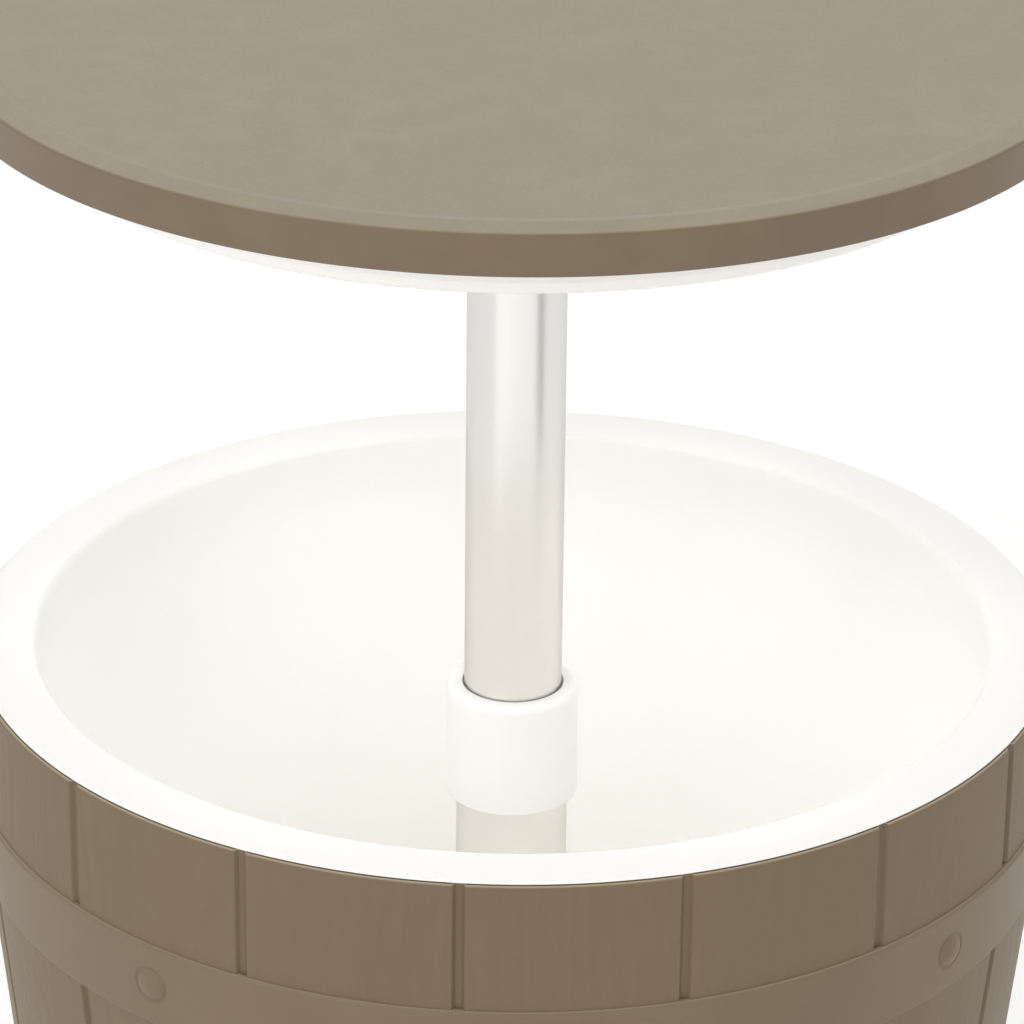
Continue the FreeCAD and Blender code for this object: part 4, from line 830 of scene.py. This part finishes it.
def block(name, half, fillet, rows, axis, origin, turn=0.0):
    """Closed block along an axis: its plan is a rectangle of half length and half width with
    round corners, grown on all sides by a row's first number at the row's second along the
    axis, and turned about the axis. A pole closes each end."""
    layers = []
    for grow, along in rows:
        a, b, corner = half[0] + grow, half[1] + grow, fillet + grow
        plan = rounded([(-a, -b, corner), (a, -b, corner), (a, b, corner), (-a, b, corner)], 6)
        reach = np.hypot(plan[:, 0], plan[:, 1])
        bearing = np.arctan2(plan[:, 1], plan[:, 0]) + turn
        layers.append(about(axis, origin, reach, along, bearing))
    ends = [np.broadcast_to(layer.mean(axis=0), layer.shape) for layer in (layers[0], layers[-1])]
    return gridded(name, [[ends[0], *layers, ends[1]]], False, True)


def sump_foot(wall):
    """Rows of the sump's block below its walls, grown by a wall's thickness: a quarter round
    of radius foot round + wall, whose row at an angle t stands in by the radius times
    1 - sin(t) and up by the radius times 1 - cos(t)."""
    bend, low = SUMP_FOOT_ROUND + wall, BUCKET_FLOOR - SUMP_DEPTH - wall
    curl = np.radians(np.linspace(0, 90, 5))
    return [(wall - bend * (1 - math.sin(t)), low + bend * (1 - math.cos(t))) for t in curl]


bucket_white = surface(
    "bucket_white", moulded_plastic((0.948, 0.944, 0.93), (0.958, 0.955, 0.944), 0.34))
insulation = surface(
    "insulation", moulded_plastic((0.80, 0.79, 0.75), (0.86, 0.85, 0.81), 0.85, 60.0, 1500.0))
under, throat = BUCKET_FLOOR - BUCKET_WALL, MOUTH_RADIUS + BUCKET_WALL
rim_low = SHELL_TOP + RIM_GAP
bucket = turned("bucket", rounded([
    (POST_HOLE, under, 0), (OUTER_FLOOR_RADIUS, under, 23), (throat, OUTER_THROAT_LOW, 12),
    (throat, SHELL_TOP, 1), (RIM_LIP_IN, SHELL_TOP, 0), (RIM_LIP_IN, RIM_LIP_LOW, 0),
    (RIM_LIP_OUT, RIM_LIP_LOW, 0), (RIM_LIP_OUT, rim_low, 0), (RIM_EDGE, rim_low, 0.1),
    (RIM_EDGE, RIM_HEIGHT, 0.4), (MOUTH_RADIUS, RIM_HEIGHT, 3), (MOUTH_RADIUS, THROAT_LOW, 12),
    (FLOOR_RADIUS, BUCKET_FLOOR, 20), (POST_HOLE, BUCKET_FLOOR, 0)], 8), WIDE_SIDES)
sump_middle = np.array(drain_way) * (SUMP_BACK - SUMP_LENGTH / 2)
sump_half = (SUMP_LENGTH / 2, SUMP_WIDTH / 2)
outside = [*sump_foot(BUCKET_WALL), (BUCKET_WALL, BUCKET_FLOOR - BUCKET_WALL / 2)]
inside = [*sump_foot(0.0), (0, BUCKET_FLOOR - SUMP_LIP), (SUMP_LIP, BUCKET_FLOOR),
          (SUMP_LIP, BUCKET_FLOOR + SUMP_CUT)]
for name, rows, how in (("sump_outside", outside, "UNION"), ("sump_inside", inside, "DIFFERENCE")):
    sump = block(name, sump_half, SUMP_CORNER, rows, UP, sump_middle, DRAIN_TURN)
    carved(bucket, sump, how)
drilled(bucket, DRAIN_HOLE, SUMP_BACK - SUMP_DRILL, SUMP_BACK + SUMP_DRILL, drain_way, drain_line)
finish(bucket, "root", "bucket_white", bucket_white, "bucket_liner", sharp=30)
dressed(insulation, "bucket_jacket")


# Drain. A threaded fitting with its flange in the sump runs out through the jacket and the
# tub's boss. A chamfered hexagonal nut holds it, and a push-in stopper with a grip closes it.
NUT_HALF_FLATS = 15.0
NUT_BORE = 11.05
NUT_HEIGHT = 6.0
NUT_UNCUT = 18.0
NUT_SIDES = 96
THREAD_END = 2.0
STOPPER_LENGTH = 20.0
STOPPER_SHANK = 7.95
STOPPER_HEAD, STOPPER_HEAD_HEIGHT = 12.0, 3.0
GRIP_HALF_WIDTH, GRIP_HALF_THICKNESS, GRIP_HEIGHT = 8.0, 2.0, 6.0
GRIP_CORNER = 1.7

# The nut's greatest radius by the distance from the boss, and how much the grip is grown by
# the distance from the stopper's head.
NUT_FORM = (
    (NUT_BORE, 0), (NUT_UNCUT, 0), (NUT_UNCUT, 4.8), (16.7, 5.2), (15.95, 5.6),
    (15.2, NUT_HEIGHT), (11.9, NUT_HEIGHT), (NUT_BORE, NUT_HEIGHT - 0.85))
GRIP_FORM = ((0, -0.5), (-0.35, 1.5), (-0.4, 3), (0, 4.6), (-0.3, 5.4), (-0.9, GRIP_HEIGHT))

drain_resin = surface("drain_resin", moulded_plastic((0.085, 0.066, 0.048), (0.11, 0.086, 0.063), 0.5))
soft_seal = surface("soft_seal", moulded_plastic((0.78, 0.77, 0.74), (0.82, 0.81, 0.78), 0.62))
dressed(drain_resin, "drain_fitting")
dressed(soft_seal, "drain_gasket")

# Over the nut's flats the radius is half flats / cos(angle from the middle of the flat), or
# the form's where that is less; so a cone that falls outwards takes its outer corners off.
angle = evenly(NUT_SIDES)
flat = (angle + math.pi / 6) % (math.pi / 3) - math.pi / 6
most, along = np.transpose(NUT_FORM)[:, :, None]
radius = np.minimum(NUT_HALF_FLATS / np.cos(flat), most)
nut_points = about(drain_way, drain_line[0], radius, drain_face + along, angle)
nut = gridded("nut", nut_points, True, True)
finish(nut, "root", "drain_resin", drain_resin, "drain_nut", sharp=25)
mouth = drain_face + NUT_HEIGHT + THREAD_END
shank_end, head_end = mouth - STOPPER_LENGTH, mouth + STOPPER_HEAD_HEIGHT
stopper = turned("stopper", rounded([
    (0, shank_end, 0), (STOPPER_SHANK, shank_end, 1.5), (STOPPER_SHANK, mouth, 0),
    (STOPPER_HEAD, mouth, 0.4), (STOPPER_HEAD, head_end, 1.2), (0, head_end, 0)]),
    SMALL_SIDES, drain_way, drain_line)
finish(stopper, "drain_plug", "drain_resin", drain_resin, "drain_plug")
grip_rows = [(grow, head_end + rise) for grow, rise in GRIP_FORM]
grip = block("stopper_grip", (GRIP_HALF_THICKNESS, GRIP_HALF_WIDTH), GRIP_CORNER, grip_rows,
             drain_way, drain_line[0])
finish(grip, "drain_plug", "drain_resin", drain_resin, "drain_plug")


# Seal at the bucket's floor. A white flange clamps a soft gasket round the post, so that
# melted ice can't run down it, and four screws hold it to bosses under the floor.
FLANGE_OUTER, FLANGE_LOW, FLANGE_HIGH = 44.0, 286.5, 291.5
NECK_OUTER, NECK_HIGH = 29.55, 306.5
SLEEVE_BORE = 25.55
FLANGE_SCREWS, FLANGE_SCREW_CIRCLE, FLANGE_SCREW_LENGTH = 4, 36.0, 19.5
collar_white = surface("collar_white", moulded_plastic((0.84, 0.835, 0.815), (0.86, 0.855, 0.835), 0.4))
flange = turned("seal_flange", rounded([
    (SLEEVE_BORE, FLANGE_LOW, 0), (FLANGE_OUTER, FLANGE_LOW, 0.3), (FLANGE_OUTER, FLANGE_HIGH, 1.2),
    (NECK_OUTER, FLANGE_HIGH, 1.6), (NECK_OUTER, NECK_HIGH, 0.9), (SLEEVE_BORE, NECK_HIGH, 0.4)]),
    POST_SIDES)
finish(flange, "root", "collar_white", collar_white, "floor_flange")
dressed(soft_seal, "floor_gasket")
flange_seats = ringed(FLANGE_SCREW_CIRCLE, FLANGE_SCREWS, FLANGE_HIGH, 45)
screws("flange_screws", "root", flange_seats, UP, FLANGE_SCREW_LENGTH, "floor_flange_screws")


# Post, sliding part. A thinner tube of bright aluminium carries the lid and slides in the
# outer one. At its lower end a stem carries a split ring that a twist of the lid makes grip.
SLIDE_OUTER, SLIDE_BORE = 22.25, 20.65
SLIDE_LOW, SLIDE_HIGH = 462.3, 833.2
inner_tube_aluminium = surface(
    "inner_tube_aluminium", drawn_metal((0.85, 0.835, 0.805), (0.865, 0.85, 0.82), 0.30))
guide_acetal = surface("guide_acetal", moulded_plastic((0.68, 0.67, 0.64), (0.73, 0.72, 0.69), 0.4))
inner_tube = upright_tube("inner_tube", SLIDE_BORE, SLIDE_OUTER, SLIDE_LOW, SLIDE_HIGH)
finish(inner_tube, "lid", "inner_tube_aluminium", inner_tube_aluminium, "upper_tube")
dressed(guide_acetal, "lock_stem", "lock_ring")
dressed(screw_steel, "stem_rivet", "lock_washer", "lock_screw")


# Collar. A white cap on the outer tube's end with a well-rounded top edge. It holds down the
# guide bush that the sliding tube runs in, and one screw at the rear pins it.
COLLAR_OUTER, COLLAR_LOW, COLLAR_HIGH = 30.0, 468.0, 523.0
COLLAR_MOUTH, COLLAR_LIP_LOW = 23.0, 520.5
REARWARD = (0.0, 1.0, 0.0)
COLLAR_SCREW_HEIGHT, COLLAR_SCREW_LENGTH = 480.0, 6.0
collar = turned("collar", rounded([
    (SLEEVE_BORE, COLLAR_LOW, 0.2), (COLLAR_OUTER, COLLAR_LOW, 0.8), (COLLAR_OUTER, COLLAR_HIGH, 3.5),
    (COLLAR_MOUTH, COLLAR_HIGH, 0.6), (COLLAR_MOUTH, COLLAR_LIP_LOW, 0),
    (SLEEVE_BORE, COLLAR_LIP_LOW, 0)]), POST_SIDES)
finish(collar, "root", "collar_white", collar_white, "post_collar")
dressed(guide_acetal, "collar_bush")
collar_seat = [(0, COLLAR_OUTER, COLLAR_SCREW_HEIGHT)]
screws("collar_pin", "root", collar_seat, REARWARD, COLLAR_SCREW_LENGTH, "collar_screw")


# Lid, lower shell. A white moulding closes the lid from below: a flange inside the edge band
# and a plug that enters the bucket's mouth, with a soft two-lipped seal in a seat round it.
# Screws through it hold the table top and the cup that takes the sliding tube.
PLUG_LOW, PLUG_RADIUS = 800.0, 213.6
SEAT_LOW, SEAT_HIGH, SEAT_RADIUS = 805.1, 809.6, 212.4
SEAL_RADIUS, SEAL_WAIST, SEAL_WEB = 215.5, 214.5, 213.7
SEAL_LIP, SEAL_HALF = 0.6, 2.25
PLUG_INNER, PLUG_FLOOR, TUBE_HOLE = 210.6, 804.5, 22.65
FLANGE_FACE, FLANGE_EDGE, FLANGE_TOP = 821.6, 243.5, 824.6
LID_SCREWS, LID_SCREW_CIRCLE, LID_SCREW_LENGTH = 8, 188.0, 18.0
CUP_SCREWS, CUP_SCREW_CIRCLE, CUP_SCREW_LENGTH = 4, 39.0, 14.0
socket_resin = surface("socket_resin", moulded_plastic((0.72, 0.70, 0.65), (0.76, 0.74, 0.70), 0.5))
lid_white = surface("lid_white", moulded_plastic((0.972, 0.956, 0.918), (0.982, 0.968, 0.932), 0.4))
seal_white = surface("seal_white", moulded_plastic((0.945, 0.94, 0.92), (0.955, 0.95, 0.935), 0.55))
underside = turned("lid_underside", rounded([
    (TUBE_HOLE, PLUG_LOW, 0.3), (PLUG_RADIUS, PLUG_LOW, 2.5), (PLUG_RADIUS, SEAT_LOW, 0),
    (SEAT_RADIUS, SEAT_LOW, 0), (SEAT_RADIUS, SEAT_HIGH, 0), (PLUG_RADIUS, SEAT_HIGH, 0),
    (PLUG_RADIUS, FLANGE_FACE, 0.4), (FLANGE_EDGE, FLANGE_FACE, 0.4), (FLANGE_EDGE, FLANGE_TOP, 0),
    (PLUG_INNER, FLANGE_TOP, 0), (PLUG_INNER, PLUG_FLOOR, 0), (TUBE_HOLE, PLUG_FLOOR, 0)]), WIDE_SIDES)
finish(underside, "lid", "bucket_white", lid_white, "lid_lower_shell")
seal = turned("plug_seal", rounded([
    (SEAT_RADIUS, SEAT_LOW, 0), (SEAL_WEB, SEAT_LOW, 0.3), (SEAL_RADIUS, SEAT_LOW + SEAL_LIP, 0.5),
    (SEAL_WAIST, SEAT_LOW + SEAL_HALF, 0.3), (SEAL_RADIUS, SEAT_HIGH - SEAL_LIP, 0.5),
    (SEAL_WEB, SEAT_HIGH, 0.3), (SEAT_RADIUS, SEAT_HIGH, 0)]), WIDE_SIDES)
finish(seal, "lid", "soft_seal", seal_white, "lid_seal")
lid_seats = ringed(LID_SCREW_CIRCLE, LID_SCREWS, PLUG_LOW)
screws("top_screws", "lid", lid_seats, DOWN, LID_SCREW_LENGTH, "lid_shell_screws")
cup_seats = ringed(CUP_SCREW_CIRCLE, CUP_SCREWS, PLUG_LOW, 45)
screws("cup_screws", "lid", cup_seats, DOWN, CUP_SCREW_LENGTH, "socket_screws")
dressed(socket_resin, "tube_socket")
dressed(screw_steel, "tube_cross_screw")


# Lid, table top. One brown moulding over an insulation disc: a flat field inside a low raised
# lip, and an upright edge band. Its upper face is painted paler, as if lit from above, and its
# edges paler, partly as wear and partly as a painted highlight.
LID_RADIUS = 247.0
BAND_LOW, BAND_HIGH = 821.0, 839.2
LIP_RADIUS, LIP_TOP = 234.8, 839.95
FIELD_RADIUS, FIELD = 230.5, 839.4
SKIN_LOW, SKIN_INNER = 836.2, 243.8


def table_resin(tree, shader):
    """Brown resin with a fine mottle and a faint sheen. Its upper face is painted paler, as if lit
    from above, and carries a paler haze in places and sparse specks; its edges are a little paler,
    partly as wear and partly as a painted highlight."""
    mottle = placed(tree, moulded_mottle, scale=45.0, speckle=1200.0)
    haze = placed(tree, moulded_mottle, scale=11.0, speckle=420.0)
    resin = blend_colour(tree, mottle.outputs["Patch"], (0.163, 0.118, 0.072), (0.181, 0.133, 0.083))
    # Painted light: the paler colour of the upper face, as if lit from above.
    painted_lit_top = blend_colour(tree, mottle.outputs["Patch"], (0.266, 0.215, 0.141), (0.294, 0.240, 0.159))
    both = sums(tree, "MULTIPLY", haze.outputs["Patch"], mottle.outputs["Patch"])
    paler = ranged(tree, both, 0.2, 0.8, 0.0, 0.38)
    painted_lit_top = blend_colour(tree, paler, painted_lit_top, (0.345, 0.296, 0.213))
    dusty = ranged(tree, haze.outputs["Speck"], 0.35, 0.65, 0.0, 0.22)
    painted_lit_top = blend_colour(tree, dusty, painted_lit_top, (0.345, 0.296, 0.213))
    specks = ranged(tree, haze.outputs["Speck"], 0.62, 0.72, 0.0, 0.3)
    painted_lit_top = blend_colour(tree, specks, painted_lit_top, (0.17, 0.13, 0.08))
    resin = laid_over(tree, resin, painted_lit_top, painted_light_by_tilt, start=0.6)
    # Edges a little paler, partly wear and partly a painted highlight.
    resin = laid_over(tree, resin, (0.32, 0.27, 0.20), rubbed_and_highlit_edges, amount=0.2)
    wire(tree, resin, shader.inputs["Base Color"])
    wire(tree, ranged(tree, mottle.outputs["Patch"], 0.0, 1.0, 0.44, 0.54), shader.inputs["Roughness"])
    shader.inputs["Specular IOR Level"].default_value = 0.4
    shader.inputs["Sheen Weight"].default_value = 0.2
    shader.inputs["Sheen Roughness"].default_value = 0.4
    bumped(tree, shader, mottle.outputs["Speck"], 0.00008)


lid_resin = surface("lid_resin", table_resin)
table = turned("lid_top", rounded([
    (0, SKIN_LOW, 0), (SKIN_INNER, SKIN_LOW, 0.6), (SKIN_INNER, BAND_LOW, 0),
    (LID_RADIUS, BAND_LOW, 0.7), (LID_RADIUS, BAND_HIGH, 1.4), (LIP_RADIUS, LIP_TOP, 10),
    (FIELD_RADIUS, FIELD, 6), (0, FIELD, 0)], 6), WIDE_SIDES)
finish(table, "lid", "lid_resin", lid_resin, "table_top")
dressed(insulation, "lid_foam")
